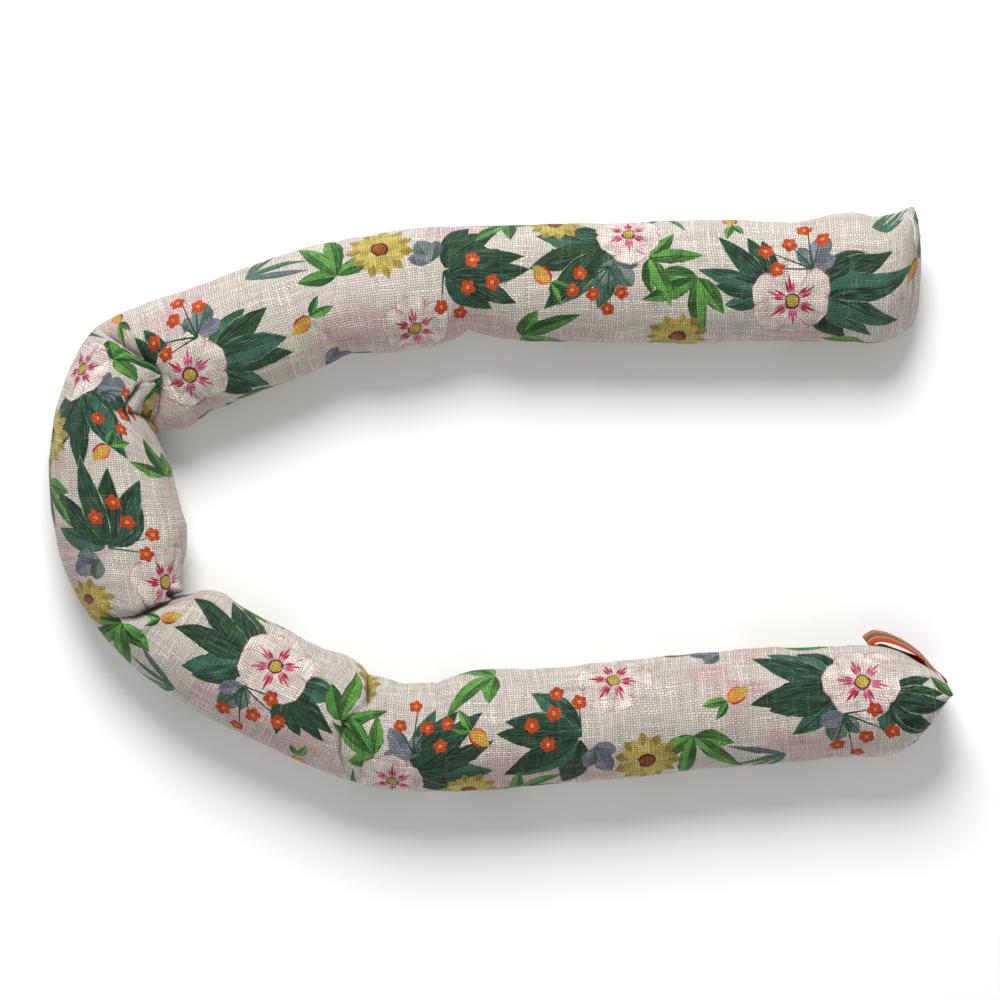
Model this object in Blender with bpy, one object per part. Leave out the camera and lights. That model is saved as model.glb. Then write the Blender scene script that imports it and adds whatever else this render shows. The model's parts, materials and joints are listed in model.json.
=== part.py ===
"""A cloth draught excluder: a filled tube of printed linen, bent double on the floor, with a ribbon loop.

The tube lies as a U that opens towards +X. It is one closed skin, lofted through sections that run from
the hand-closed end of the upper arm, round the bend, to the end of the lower arm that holds the ribbon.
The skin is pinched into valleys where the tube kinks, and the plumper side of a kink leans over the other.

Sizes are in millimetres here and metres in the meshes. +Z is up, and the floor is at z = 0.
The plan's origin is the middle of the object's footprint.
"""

import math

import bmesh
import bpy
import numpy as np
from mathutils import Vector

MM = 0.001

# The tube, lying: where its widest level is, and half its height before the floor flattens it.
LEVEL = 23.5
FULL = 26.5
SEAM = 1.4  # half the thickness of a sewn end
AROUND = 32  # points round each ring
SLOPE_STEP = 0.5  # how far ahead and behind the tube's direction is read
CREASE_ANGLE = 60.0  # edges sharper than this many degrees are shaded as edges

# The mesh's spacing along the tube: on its plain stretches, and near a fold.
PLAIN_STEP = 9.0
FOLD_STEP = 2.0
FOLD_REACH = 7.8  # the close spacing reaches this far from a fold
FOLD_FADE = 13.0  # and it has widened fully this much farther on

# Each section is a line across the tube, from its outer side to its inner side.
# name, outer x, outer y, inner x, inner y, outer level, inner level, half thickness
SECTIONS = (
    ("closed_seam", 205.0, 145.8, 205.5, 86.7, 22.5, 22.5, FULL),
    ("", 197.0, 143.8, 198.0, 80.4, LEVEL, LEVEL, FULL),
    ("", 188.0, 142.0, 187.0, 78.6, LEVEL, LEVEL, FULL),
    ("", 178.0, 143.6, 177.0, 79.2, LEVEL, LEVEL, FULL),
    ("", 168.0, 142.8, 167.0, 79.6, LEVEL, LEVEL, FULL),
    ("", 155.0, 139.8, 154.0, 79.4, LEVEL, LEVEL, FULL),
    ("", 120.0, 140.0, 120.0, 79.0, LEVEL, LEVEL, FULL),
    ("", 75.0, 139.2, 76.0, 78.4, LEVEL, LEVEL, FULL),
    ("", 37.5, 138.0, 37.5, 79.2, LEVEL, LEVEL, FULL),
    ("", 5.0, 137.5, 3.0, 80.2, LEVEL, LEVEL, FULL),
    ("nick_1", -16.0, 137.0, -15.0, 82.0, LEVEL, LEVEL, 26.0),
    ("", -37.5, 136.0, -33.0, 77.4, LEVEL, LEVEL, FULL),
    ("", -57.5, 133.8, -50.0, 74.2, LEVEL, LEVEL, FULL),
    ("nick_2", -87.5, 128.5, -75.0, 71.5, LEVEL, LEVEL, 26.0),
    ("", -112.5, 121.2, -97.5, 62.8, LEVEL, LEVEL, FULL),
    ("", -137.5, 112.4, -118.5, 54.4, LEVEL, LEVEL, FULL),
    ("", -162.5, 103.2, -140.0, 45.6, LEVEL, LEVEL, FULL),
    ("", -181.0, 96.6, -156.0, 36.6, LEVEL, LEVEL, 26.0),
    ("", -193.0, 92.2, -164.0, 34.4, LEVEL, LEVEL, 26.0),
    ("upper_fold", -202.6, 87.4, -170.5, 32.5, LEVEL, LEVEL, 26.0),
    ("", -207.8, 80.0, -170.8, 30.8, LEVEL, LEVEL, 26.5),
    ("", -213.4, 69.6, -170.0, 28.6, LEVEL, LEVEL, 27.0),
    ("", -221.0, 49.0, -168.0, 24.0, LEVEL, LEVEL, 27.5),
    ("", -224.5, 27.5, -165.0, 17.0, LEVEL, LEVEL, 27.5),
    ("", -225.0, 5.0, -161.5, 3.5, LEVEL, LEVEL, 27.5),
    ("", -223.0, -15.0, -156.6, -13.5, LEVEL, LEVEL, 27.5),
    ("", -218.5, -32.5, -156.6, -25.0, LEVEL, LEVEL, 27.5),
    ("", -212.5, -45.0, -159.4, -36.0, LEVEL, LEVEL, 27.0),
    ("lower_fold", -203.0, -61.0, -161.6, -47.6, LEVEL, LEVEL, 24.5),
    ("", -194.0, -73.0, -155.0, -46.8, LEVEL, LEVEL, 25.0),
    ("", -184.0, -82.8, -148.5, -44.8, LEVEL, LEVEL, 26.0),
    ("", -171.5, -92.8, -140.5, -45.4, LEVEL, LEVEL, 26.5),
    ("", -155.0, -103.4, -127.5, -54.5, LEVEL, LEVEL, 26.5),
    ("", -134.0, -114.5, -108.5, -63.8, LEVEL, LEVEL, 26.5),
    ("", -111.5, -125.5, -90.0, -73.2, LEVEL, LEVEL, 26.5),
    ("", -91.0, -134.4, -77.0, -77.6, LEVEL, LEVEL, 26.5),
    ("arm_fold", -72.5, -140.8, -66.5, -84.4, LEVEL, LEVEL, 25.5),
    ("nick_3", -51.0, -145.2, -48.5, -90.4, LEVEL, LEVEL, 25.5),
    ("nick_4", -32.0, -146.0, -31.5, -90.0, LEVEL, LEVEL, 25.5),
    ("", -12.5, -145.0, -15.0, -85.6, LEVEL, LEVEL, FULL),
    ("", 15.0, -143.0, 12.5, -84.5, LEVEL, LEVEL, FULL),
    ("", 60.0, -139.2, 56.0, -81.0, LEVEL, LEVEL, FULL),
    ("", 105.0, -134.4, 101.0, -76.2, LEVEL, LEVEL, FULL),
    ("", 150.0, -130.6, 146.5, -73.6, LEVEL, LEVEL, FULL),
    ("", 180.0, -128.4, 178.0, -72.8, LEVEL, LEVEL, FULL),
    ("", 192.0, -128.2, 190.0, -72.6, LEVEL, LEVEL, FULL),
    ("", 204.0, -126.8, 202.0, -73.8, LEVEL, LEVEL, FULL),
    ("", 213.5, -120.4, 210.5, -75.8, LEVEL, LEVEL, 26.0),
    ("ribbon_seam", 224.6, -108.6, 219.8, -77.6, 25.0, 25.0, 25.0),
)

# The sewn ends: each pinches the ring flat onto the line between two corners.
# section, first corner, second corner, reach of the pinch, bow of the seam outwards
ENDS = (
    ("closed_seam", (204.5, 146.0, 36.0), (206.0, 86.5, 9.0), 26.0, 6.0),
    ("ribbon_seam", (224.8, -97.0, 48.0), (219.6, -89.2, 3.0), 41.0, 1.0),
)

# Valleys pressed into the skin. Turns are in degrees: 0 is the outer side, 90 the top, 180 the inner side.
# section, shift along, depth, turn, spread of turn, width before, width after, lean, bow, turn of the bow
FOLDS = (
    ("nick_1", 0.0, 2.6, 180.0, 45.0, 5.0, 4.0, 0.0, 0.0, 90.0),
    ("nick_2", 0.0, 1.8, 180.0, 45.0, 6.0, 4.0, 0.0, 0.0, 90.0),
    ("upper_fold", 0.0, 13.0, 100.0, 55.0, 6.0, 7.0, 13.0, -13.0, 97.0),
    ("upper_fold", 9.0, 7.0, 150.0, 28.0, 4.0, 4.0, 0.0, -6.0, 120.0),
    ("upper_fold", -34.0, 1.5, 180.0, 40.0, 4.0, 4.0, 0.0, 0.0, 90.0),
    ("lower_fold", -1.0, 10.0, 125.0, 50.0, 5.0, 7.0, -9.0, 3.0, 90.0),
    ("lower_fold", 15.0, 2.5, 80.0, 40.0, 5.0, 5.0, 0.0, 4.0, 90.0),
    ("arm_fold", 0.0, 5.5, 145.0, 38.0, 3.0, 6.0, -6.0, 3.0, 113.0),
    ("nick_3", 0.0, 1.2, 180.0, 40.0, 4.0, 5.0, 0.0, 0.0, 90.0),
    ("nick_4", 0.0, 1.2, 180.0, 40.0, 4.0, 5.0, 0.0, 0.0, 90.0),
)
VALLEY_ROUND = 1.0  # how round the bottom of a valley is
BOW_SPREAD = 50.0  # how far round the skin a valley's bow reaches, in degrees
LEAN_CENTRE = 8.0  # how far behind the valley the leaning cloth is thickest
LEAN_WIDTH = 5.5
LEAST_LEFT = 0.15  # the share of the half width that a valley always leaves

# The ribbon: its width and thickness, and the stations of its middle line with its lean off the vertical.
RIBBON_WIDTH = 10.0
RIBBON_THICK = 1.0
RIBBON_STEP = 1.4
# x, y, level of the middle line, lean of the upper edge towards the inside of the loop in degrees
RIBBON_ROUTE = (
    (223.5, -89.1, 18.0, 0.0),
    (221.3, -86.1, 18.0, 0.0),
    (216.9, -81.5, 18.6, 0.0),
    (211.4, -75.8, 19.6, 2.0),
    (204.8, -70.0, 20.6, 6.0),
    (197.6, -66.9, 21.4, 12.0),
    (191.0, -65.9, 21.4, 22.0),
    (186.0, -65.7, 20.6, 20.0),
    (182.3, -67.1, 19.0, 10.0),
    (181.8, -69.6, 16.6, 8.0),
    (185.4, -71.3, 14.2, 16.0),
    (191.0, -73.7, 11.6, 26.0),
    (196.8, -76.6, 10.6, 28.0),
    (202.6, -78.9, 11.0, 26.0),
    (208.4, -80.7, 13.2, 18.0),
    (214.0, -82.6, 15.8, 6.0),
    (218.9, -86.0, 17.6, 0.0),
    (222.3, -89.7, 18.0, 0.0),
)

PRINTED_LINEN = ("printed_linen", (0.66, 0.62, 0.55, 1.0), 0.88)
ORANGE_RIBBON = ("orange_ribbon", (0.86, 0.22, 0.03, 1.0), 0.62)


def hermite(knots, values, at):
    """A smooth curve through values at the knots: cubic pieces, each slope taken across its neighbours."""
    slopes = np.gradient(values, knots, axis=0)
    k = np.clip(np.searchsorted(knots, at, side="right") - 1, 0, len(knots) - 2)
    span = knots[k + 1] - knots[k]
    t = ((at - knots[k]) / span)[:, None]
    span = span[:, None]
    return (
        values[k] * (1 + 2 * t) * (1 - t) ** 2
        + slopes[k] * span * t * (1 - t) ** 2
        + values[k + 1] * t**2 * (3 - 2 * t)
        + slopes[k + 1] * span * t**2 * (t - 1)
    )


def unit(vectors):
    return vectors / np.linalg.norm(vectors, axis=-1, keepdims=True)


def route_of(sections):
    """Distance along the tube's middle line at each section, and each section's columns as one array."""
    columns = np.array([row[1:] for row in sections], float)
    middles = np.stack([columns[:, [0, 2]].mean(1), columns[:, [1, 3]].mean(1)], axis=1)
    steps = np.linalg.norm(np.diff(middles, axis=0), axis=1)
    return np.concatenate([[0.0], np.cumsum(steps)]), columns


def stations(knots, folds_at):
    """Distances along the tube for the rings: close together near folds and sewn ends, wide apart between."""
    at = [0.0]
    close = list(folds_at) + [knots[0], knots[-1]]
    while at[-1] < knots[-1]:
        near = min(abs(at[-1] - c) for c in close)
        share = min(1.0, max(0.0, (near - FOLD_REACH) / FOLD_FADE))
        at.append(at[-1] + FOLD_STEP + (PLAIN_STEP - FOLD_STEP) * share)
    if knots[-1] - at[-2] < FOLD_STEP:
        at.pop()
    at[-1] = knots[-1]
    return np.array(at)


def turn_between(turn, centre):
    """The angle from a turn to a centre, in degrees, taken the short way round."""
    return (np.degrees(turn) - centre + 180.0) % 360.0 - 180.0


def pinch(offset, half, crown, near, seam, seam_half):
    """Draw points in onto the line of a sewn end, and say how far inside the seam each one lies."""
    reach = np.sqrt((half @ seam) ** 2 + (crown @ seam) ** 2)
    lengthwise = offset @ seam
    thin = np.maximum(np.sqrt(1 - near**2), SEAM / FULL)
    stretched = lengthwise * (1 + (seam_half / reach - 1) * near**2)
    pinched = (offset - np.outer(lengthwise, seam)) * thin[:, None] + np.outer(stretched, seam)
    return pinched, np.sqrt(np.maximum(1 - (lengthwise / reach) ** 2, 0.0))


def skin(knots, columns, along, turn):
    """Points of the tube's skin, in millimetres, at distances along it and turns round it."""
    values = hermite(knots, columns, along)
    ahead = hermite(knots, columns, np.minimum(along + SLOPE_STEP, knots[-1]))
    behind = hermite(knots, columns, np.maximum(along - SLOPE_STEP, 0.0))
    outer, inner = values[:, [0, 1, 4]], values[:, [2, 3, 5]]
    middle, half = (outer + inner) / 2, (outer - inner) / 2
    across, up = np.cos(turn)[:, None], np.sin(turn)[:, None]
    outer_step, inner_step = (ahead - behind)[:, [0, 1, 4]], (ahead - behind)[:, [2, 3, 5]]
    local_step = outer_step * (1 + across) / 2 + inner_step * (1 - across) / 2
    pace = np.clip(np.linalg.norm(local_step, axis=1) / (2 * SLOPE_STEP), 0.0, 1.0)
    travel = unit((outer_step + inner_step) * (1.0, 1.0, 0.0))
    crown = unit(np.cross(half, travel)) * values[:, 6:7]
    offset = half * across + crown * up
    names = [row[0] for row in SECTIONS]

    push = np.zeros_like(offset)
    outward = travel * np.sign(along - knots[-1] / 2)[:, None]
    for name, corner, other, length, bow in ENDS:
        line = np.subtract(corner, other)
        near = np.clip(1 - np.abs(along - knots[names.index(name)]) / length, 0.0, 1.0)
        offset, inside = pinch(offset, half, crown, near, unit(line), np.linalg.norm(line) / 2)
        push += outward * (bow * near**2 * inside)[:, None]

    shrink = np.zeros(len(along))
    for name, shift, depth, centre, spread, before, after, lean, bow, bow_turn in FOLDS:
        bent = bow * np.exp(-((turn_between(turn, bow_turn) / BOW_SPREAD) ** 2))
        x = along - knots[names.index(name)] - shift - bent
        away = np.sqrt(x**2 + VALLEY_ROUND**2) - VALLEY_ROUND
        share = np.exp(-((turn_between(turn, centre) / spread) ** 2))
        shrink += depth * share * np.exp(-away / np.where(x < 0, before, after))
        bulge = np.exp(-(((x * np.sign(lean) - LEAN_CENTRE) / LEAN_WIDTH) ** 2))
        push -= travel * (lean * share * pace * bulge)[:, None]

    reach = np.linalg.norm(offset, axis=1)
    kept = np.maximum(1 - shrink / np.maximum(reach, MM), LEAST_LEFT)
    points = middle + offset * kept[:, None] + push
    points[:, 2] = np.maximum(points[:, 2], 0.0)
    return points


def material(name, colour, roughness):
    made = bpy.data.materials.new(name)
    made.use_nodes = True
    shader = made.node_tree.nodes["Principled BSDF"]
    shader.inputs["Base Color"].default_value = colour
    shader.inputs["Roughness"].default_value = roughness
    shader.inputs["Metallic"].default_value = 0.0
    return made


def add_object(name, bm, finish):
    mesh = bpy.data.meshes.new(name)
    bmesh.ops.recalc_face_normals(bm, faces=bm.faces)
    bm.to_mesh(mesh)
    bm.free()
    mesh.materials.append(material(*finish))
    mesh.shade_smooth()
    mesh.set_sharp_from_angle(angle=math.radians(CREASE_ANGLE))
    obj = bpy.data.objects.new(name, mesh)
    bpy.context.scene.collection.objects.link(obj)
    return obj


def casing_rings():
    """The skin's points as rings: one row for each ring, in millimetres on the sections' own plan."""
    knots, columns = route_of(SECTIONS)
    names = [row[0] for row in SECTIONS]
    along = stations(knots, [knots[names.index(fold[0])] for fold in FOLDS if fold[7] != 0])
    turns = np.arange(AROUND) * 2 * math.pi / AROUND
    grid_along, grid_turn = np.meshgrid(along, turns, indexing="ij")
    return skin(knots, columns, grid_along.ravel(), grid_turn.ravel()).reshape(-1, AROUND, 3)


def build_casing(points):
    """The filled tube: rings of the skin joined by quads, and each sewn end closed by a strip of quads."""
    bm = bmesh.new()
    rings = [[bm.verts.new(Vector(point) * MM) for point in ring] for ring in points]
    for ring, following in zip(rings, rings[1:]):
        for j in range(AROUND):
            k = (j + 1) % AROUND
            bm.faces.new((ring[j], ring[k], following[k], following[j]))
    for ring, (_, corner, other, _, _) in zip((rings[0], rings[-1]), ENDS):
        seam = Vector(np.subtract(corner, other))
        first = max(range(AROUND), key=lambda j: ring[j].co @ seam)
        for j in range(AROUND // 2):
            one, next_one = ring[(first + j) % AROUND], ring[(first + j + 1) % AROUND]
            other_one, next_other = ring[first - j], ring[first - j - 1]
            bm.faces.new(list(dict.fromkeys((one, next_one, next_other, other_one))))
    return add_object("casing", bm, PRINTED_LINEN)


def build_ribbon(middle):
    """The hanging loop: a strip of ribbon on a smooth route, leaning into the loop, thickened by Solidify."""
    rows = np.array(RIBBON_ROUTE, float)
    steps = np.linalg.norm(np.diff(rows[:, :3], axis=0), axis=1)
    knots = np.concatenate([[0.0], np.cumsum(steps)])
    at = np.linspace(0.0, knots[-1], round(knots[-1] / RIBBON_STEP) + 1)
    line = hermite(knots, rows, at)
    travel = unit(np.gradient(line[:, :3], at, axis=0))
    inward = unit(np.cross(np.array([0.0, 0.0, 1.0]), travel))
    rise = unit(np.cross(travel, inward))
    lean = np.radians(line[:, 3:4])
    half_width = (rise * np.cos(lean) + inward * np.sin(lean)) * RIBBON_WIDTH / 2
    bm = bmesh.new()
    edges = []
    for point, half in zip(line[:, :3] - middle, half_width):
        edges.append([bm.verts.new(Vector(point + side * half) * MM) for side in (-1, 1)])
    for (low, high), (next_low, next_high) in zip(edges, edges[1:]):
        bm.faces.new((low, next_low, next_high, high))
    ribbon = add_object("ribbon_loop", bm, ORANGE_RIBBON)
    thick = ribbon.modifiers.new("thickness", "SOLIDIFY")
    thick.thickness = RIBBON_THICK * MM
    thick.offset = 0.0
    thick.use_even_offset = True
    return ribbon


def main():
    for obj in list(bpy.data.objects):
        bpy.data.objects.remove(obj)
    points = casing_rings()
    middle = (points.min((0, 1)) + points.max((0, 1))) / 2 * (1.0, 1.0, 0.0)
    build_casing(points - middle)
    build_ribbon(middle)


main()
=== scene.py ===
"""The looks of a cloth draught excluder: a filled tube of printed linen, bent double, with a ribbon loop.

The casing's cloth is one mesh. Its points lie on the tube's skin, worked out as the solid's was, with the
finer creases added. The print is cut into that mesh: each motif is an outline in the cloth's own plane.
Sizes are in millimetres until a mesh is made. "Along" runs with the tube and "turn" goes round it.
"""

import json
import math
import random

import bpy
import numpy as np
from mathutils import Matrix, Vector, geometry
from mathutils.bvhtree import BVHTree

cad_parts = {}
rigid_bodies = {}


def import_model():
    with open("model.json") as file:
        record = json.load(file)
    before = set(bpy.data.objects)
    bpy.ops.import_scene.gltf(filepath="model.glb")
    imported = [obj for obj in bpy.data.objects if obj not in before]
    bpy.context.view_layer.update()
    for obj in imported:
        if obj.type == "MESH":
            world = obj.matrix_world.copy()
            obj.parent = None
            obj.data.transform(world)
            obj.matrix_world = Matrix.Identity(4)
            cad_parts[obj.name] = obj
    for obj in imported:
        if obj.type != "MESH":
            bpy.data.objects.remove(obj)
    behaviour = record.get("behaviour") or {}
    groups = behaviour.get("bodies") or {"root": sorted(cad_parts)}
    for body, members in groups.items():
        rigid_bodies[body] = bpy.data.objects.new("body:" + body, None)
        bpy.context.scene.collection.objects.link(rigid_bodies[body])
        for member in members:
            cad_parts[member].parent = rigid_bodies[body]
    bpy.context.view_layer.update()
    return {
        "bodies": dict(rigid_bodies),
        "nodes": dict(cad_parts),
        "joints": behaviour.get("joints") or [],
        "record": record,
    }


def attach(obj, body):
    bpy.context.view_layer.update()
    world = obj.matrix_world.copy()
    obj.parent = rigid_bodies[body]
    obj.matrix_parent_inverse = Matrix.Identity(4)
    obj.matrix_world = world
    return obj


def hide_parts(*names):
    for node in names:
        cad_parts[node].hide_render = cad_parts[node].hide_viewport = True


MM = 0.001
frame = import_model()

# ---------------------------------------------------------------- the tube's skin, as in the solid

LEVEL = 23.5  # the height at which the tube is widest
FULL = 26.5  # half the tube's thickness
SEAM = 1.4  # half the thickness of a sewn end
SLOPE_STEP = 0.5  # how far ahead and behind the tube's direction is read
TINY = 1e-6
TOUCH = 1e-4  # points nearer than this to a border lie on it
MIDDLE = np.array([-0.157, 0.086, 0.0])  # the middle of the footprint on the sections' plan

# name, outer x, outer y, inner x, inner y, outer level, inner level, half thickness
SECTIONS = (
    ("closed_seam", 205.0, 145.8, 205.5, 86.7, 22.5, 22.5, FULL),
    ("", 197.0, 143.8, 198.0, 80.4, LEVEL, LEVEL, FULL),
    ("", 188.0, 142.0, 187.0, 78.6, LEVEL, LEVEL, FULL),
    ("", 178.0, 143.6, 177.0, 79.2, LEVEL, LEVEL, FULL),
    ("", 168.0, 142.8, 167.0, 79.6, LEVEL, LEVEL, FULL),
    ("", 155.0, 139.8, 154.0, 79.4, LEVEL, LEVEL, FULL),
    ("", 120.0, 140.0, 120.0, 79.0, LEVEL, LEVEL, FULL),
    ("", 75.0, 139.2, 76.0, 78.4, LEVEL, LEVEL, FULL),
    ("", 37.5, 138.0, 37.5, 79.2, LEVEL, LEVEL, FULL),
    ("", 5.0, 137.5, 3.0, 80.2, LEVEL, LEVEL, FULL),
    ("nick_1", -16.0, 137.0, -15.0, 82.0, LEVEL, LEVEL, 26.0),
    ("", -37.5, 136.0, -33.0, 77.4, LEVEL, LEVEL, FULL),
    ("", -57.5, 133.8, -50.0, 74.2, LEVEL, LEVEL, FULL),
    ("nick_2", -87.5, 128.5, -75.0, 71.5, LEVEL, LEVEL, 26.0),
    ("", -112.5, 121.2, -97.5, 62.8, LEVEL, LEVEL, FULL),
    ("", -137.5, 112.4, -118.5, 54.4, LEVEL, LEVEL, FULL),
    ("", -162.5, 103.2, -140.0, 45.6, LEVEL, LEVEL, FULL),
    ("", -181.0, 96.6, -156.0, 36.6, LEVEL, LEVEL, 26.0),
    ("", -193.0, 92.2, -164.0, 34.4, LEVEL, LEVEL, 26.0),
    ("upper_fold", -202.6, 87.4, -170.5, 32.5, LEVEL, LEVEL, 26.0),
    ("", -207.8, 80.0, -170.8, 30.8, LEVEL, LEVEL, 26.5),
    ("", -213.4, 69.6, -170.0, 28.6, LEVEL, LEVEL, 27.0),
    ("", -221.0, 49.0, -168.0, 24.0, LEVEL, LEVEL, 27.5),
    ("", -224.5, 27.5, -165.0, 17.0, LEVEL, LEVEL, 27.5),
    ("bend_middle", -225.0, 5.0, -161.5, 3.5, LEVEL, LEVEL, 27.5),
    ("", -223.0, -15.0, -156.6, -13.5, LEVEL, LEVEL, 27.5),
    ("", -218.5, -32.5, -156.6, -25.0, LEVEL, LEVEL, 27.5),
    ("", -212.5, -45.0, -159.4, -36.0, LEVEL, LEVEL, 27.0),
    ("lower_fold", -203.0, -61.0, -161.6, -47.6, LEVEL, LEVEL, 24.5),
    ("", -194.0, -73.0, -155.0, -46.8, LEVEL, LEVEL, 25.0),
    ("", -184.0, -82.8, -148.5, -44.8, LEVEL, LEVEL, 26.0),
    ("", -171.5, -92.8, -140.5, -45.4, LEVEL, LEVEL, 26.5),
    ("arm_start", -155.0, -103.4, -127.5, -54.5, LEVEL, LEVEL, 26.5),
    ("", -134.0, -114.5, -108.5, -63.8, LEVEL, LEVEL, 26.5),
    ("", -111.5, -125.5, -90.0, -73.2, LEVEL, LEVEL, 26.5),
    ("", -91.0, -134.4, -77.0, -77.6, LEVEL, LEVEL, 26.5),
    ("arm_fold", -72.5, -140.8, -66.5, -84.4, LEVEL, LEVEL, 25.5),
    ("nick_3", -51.0, -145.2, -48.5, -90.4, LEVEL, LEVEL, 25.5),
    ("nick_4", -32.0, -146.0, -31.5, -90.0, LEVEL, LEVEL, 25.5),
    ("", -12.5, -145.0, -15.0, -85.6, LEVEL, LEVEL, FULL),
    ("", 15.0, -143.0, 12.5, -84.5, LEVEL, LEVEL, FULL),
    ("", 60.0, -139.2, 56.0, -81.0, LEVEL, LEVEL, FULL),
    ("", 105.0, -134.4, 101.0, -76.2, LEVEL, LEVEL, FULL),
    ("", 150.0, -130.6, 146.5, -73.6, LEVEL, LEVEL, FULL),
    ("", 180.0, -128.4, 178.0, -72.8, LEVEL, LEVEL, FULL),
    ("", 192.0, -128.2, 190.0, -72.6, LEVEL, LEVEL, FULL),
    ("", 204.0, -126.8, 202.0, -73.8, LEVEL, LEVEL, FULL),
    ("", 213.5, -120.4, 210.5, -75.8, LEVEL, LEVEL, 26.0),
    ("ribbon_seam", 224.6, -108.6, 219.8, -77.6, 25.0, 25.0, 25.0),
)

# The sewn ends: each pinches the ring flat onto the line between two corners.
# section, first corner, second corner, reach of the pinch, bow of the seam outwards
ENDS = (
    ("closed_seam", (204.5, 146.0, 36.0), (206.0, 86.5, 9.0), 26.0, 6.0),
    ("ribbon_seam", (224.8, -97.0, 48.0), (219.6, -89.2, 3.0), 41.0, 1.0),
)

# Valleys pressed into the skin. Turns are in degrees: 0 is the outer side, 90 the top, 180 the inner side.
# section, shift along, depth, turn, spread of turn, width before, width after, lean, bow, turn of the bow
FOLDS = (
    ("nick_1", 0.0, 2.6, 180.0, 45.0, 5.0, 4.0, 0.0, 0.0, 90.0),
    ("nick_2", 0.0, 1.8, 180.0, 45.0, 6.0, 4.0, 0.0, 0.0, 90.0),
    ("upper_fold", 0.0, 13.0, 100.0, 55.0, 6.0, 7.0, 13.0, -13.0, 97.0),
    ("upper_fold", 9.0, 7.0, 150.0, 28.0, 4.0, 4.0, 0.0, -6.0, 120.0),
    ("upper_fold", -34.0, 1.5, 180.0, 40.0, 4.0, 4.0, 0.0, 0.0, 90.0),
    ("lower_fold", -1.0, 10.0, 125.0, 50.0, 5.0, 7.0, -9.0, 3.0, 90.0),
    ("lower_fold", 15.0, 2.5, 80.0, 40.0, 5.0, 5.0, 0.0, 4.0, 90.0),
    ("arm_fold", 0.0, 5.5, 145.0, 38.0, 3.0, 6.0, -6.0, 3.0, 113.0),
    ("nick_3", 0.0, 1.2, 180.0, 40.0, 4.0, 5.0, 0.0, 0.0, 90.0),
    ("nick_4", 0.0, 1.2, 180.0, 40.0, 4.0, 5.0, 0.0, 0.0, 90.0),
)
VALLEY_ROUND = 1.0  # how round the bottom of a valley is
BOW_SPREAD = 50.0  # how far round the skin a valley's bow reaches, in degrees
LEAN_CENTRE = 8.0  # how far behind the valley the leaning cloth is thickest
LEAN_WIDTH = 5.5
LEAST_LEFT = 0.15  # the share of the half width that a valley always leaves


def hermite(knots, values, at):
    """A smooth curve through values at the knots: cubic pieces, each slope taken across its neighbours."""
    slopes = np.gradient(values, knots, axis=0)
    k = np.clip(np.searchsorted(knots, at, side="right") - 1, 0, len(knots) - 2)
    span = knots[k + 1] - knots[k]
    t = ((at - knots[k]) / span)[:, None]
    span = span[:, None]
    return (
        values[k] * (1 + 2 * t) * (1 - t) ** 2
        + slopes[k] * span * t * (1 - t) ** 2
        + values[k + 1] * t**2 * (3 - 2 * t)
        + slopes[k + 1] * span * t**2 * (t - 1)
    )


def unit(vectors):
    return vectors / np.linalg.norm(vectors, axis=-1, keepdims=True)


def route_of(sections):
    """Distance along the tube's middle line at each section, and each section's columns as one array."""
    columns = np.array([row[1:] for row in sections], float)
    middles = np.stack([columns[:, [0, 2]].mean(1), columns[:, [1, 3]].mean(1)], axis=1)
    steps = np.linalg.norm(np.diff(middles, axis=0), axis=1)
    return np.concatenate([[0.0], np.cumsum(steps)]), columns


def station(knots, name):
    """How far along the tube a named section lies."""
    return knots[[row[0] for row in SECTIONS].index(name)]


def turn_between(turn, centre):
    """The angle from a turn to a centre, in degrees, taken the short way round."""
    return (np.degrees(turn) - centre + 180.0) % 360.0 - 180.0


def pinch(offset, half, crown, near, seam, seam_half):
    """Draw points in onto the line of a sewn end, and say how far inside the seam each one lies."""
    reach = np.sqrt((half @ seam) ** 2 + (crown @ seam) ** 2)
    lengthwise = offset @ seam
    thin = np.maximum(np.sqrt(1 - near**2), SEAM / FULL)
    stretched = lengthwise * (1 + (seam_half / reach - 1) * near**2)
    pinched = (offset - np.outer(lengthwise, seam)) * thin[:, None] + np.outer(stretched, seam)
    return pinched, np.sqrt(np.maximum(1 - (lengthwise / reach) ** 2, 0.0))


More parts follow.
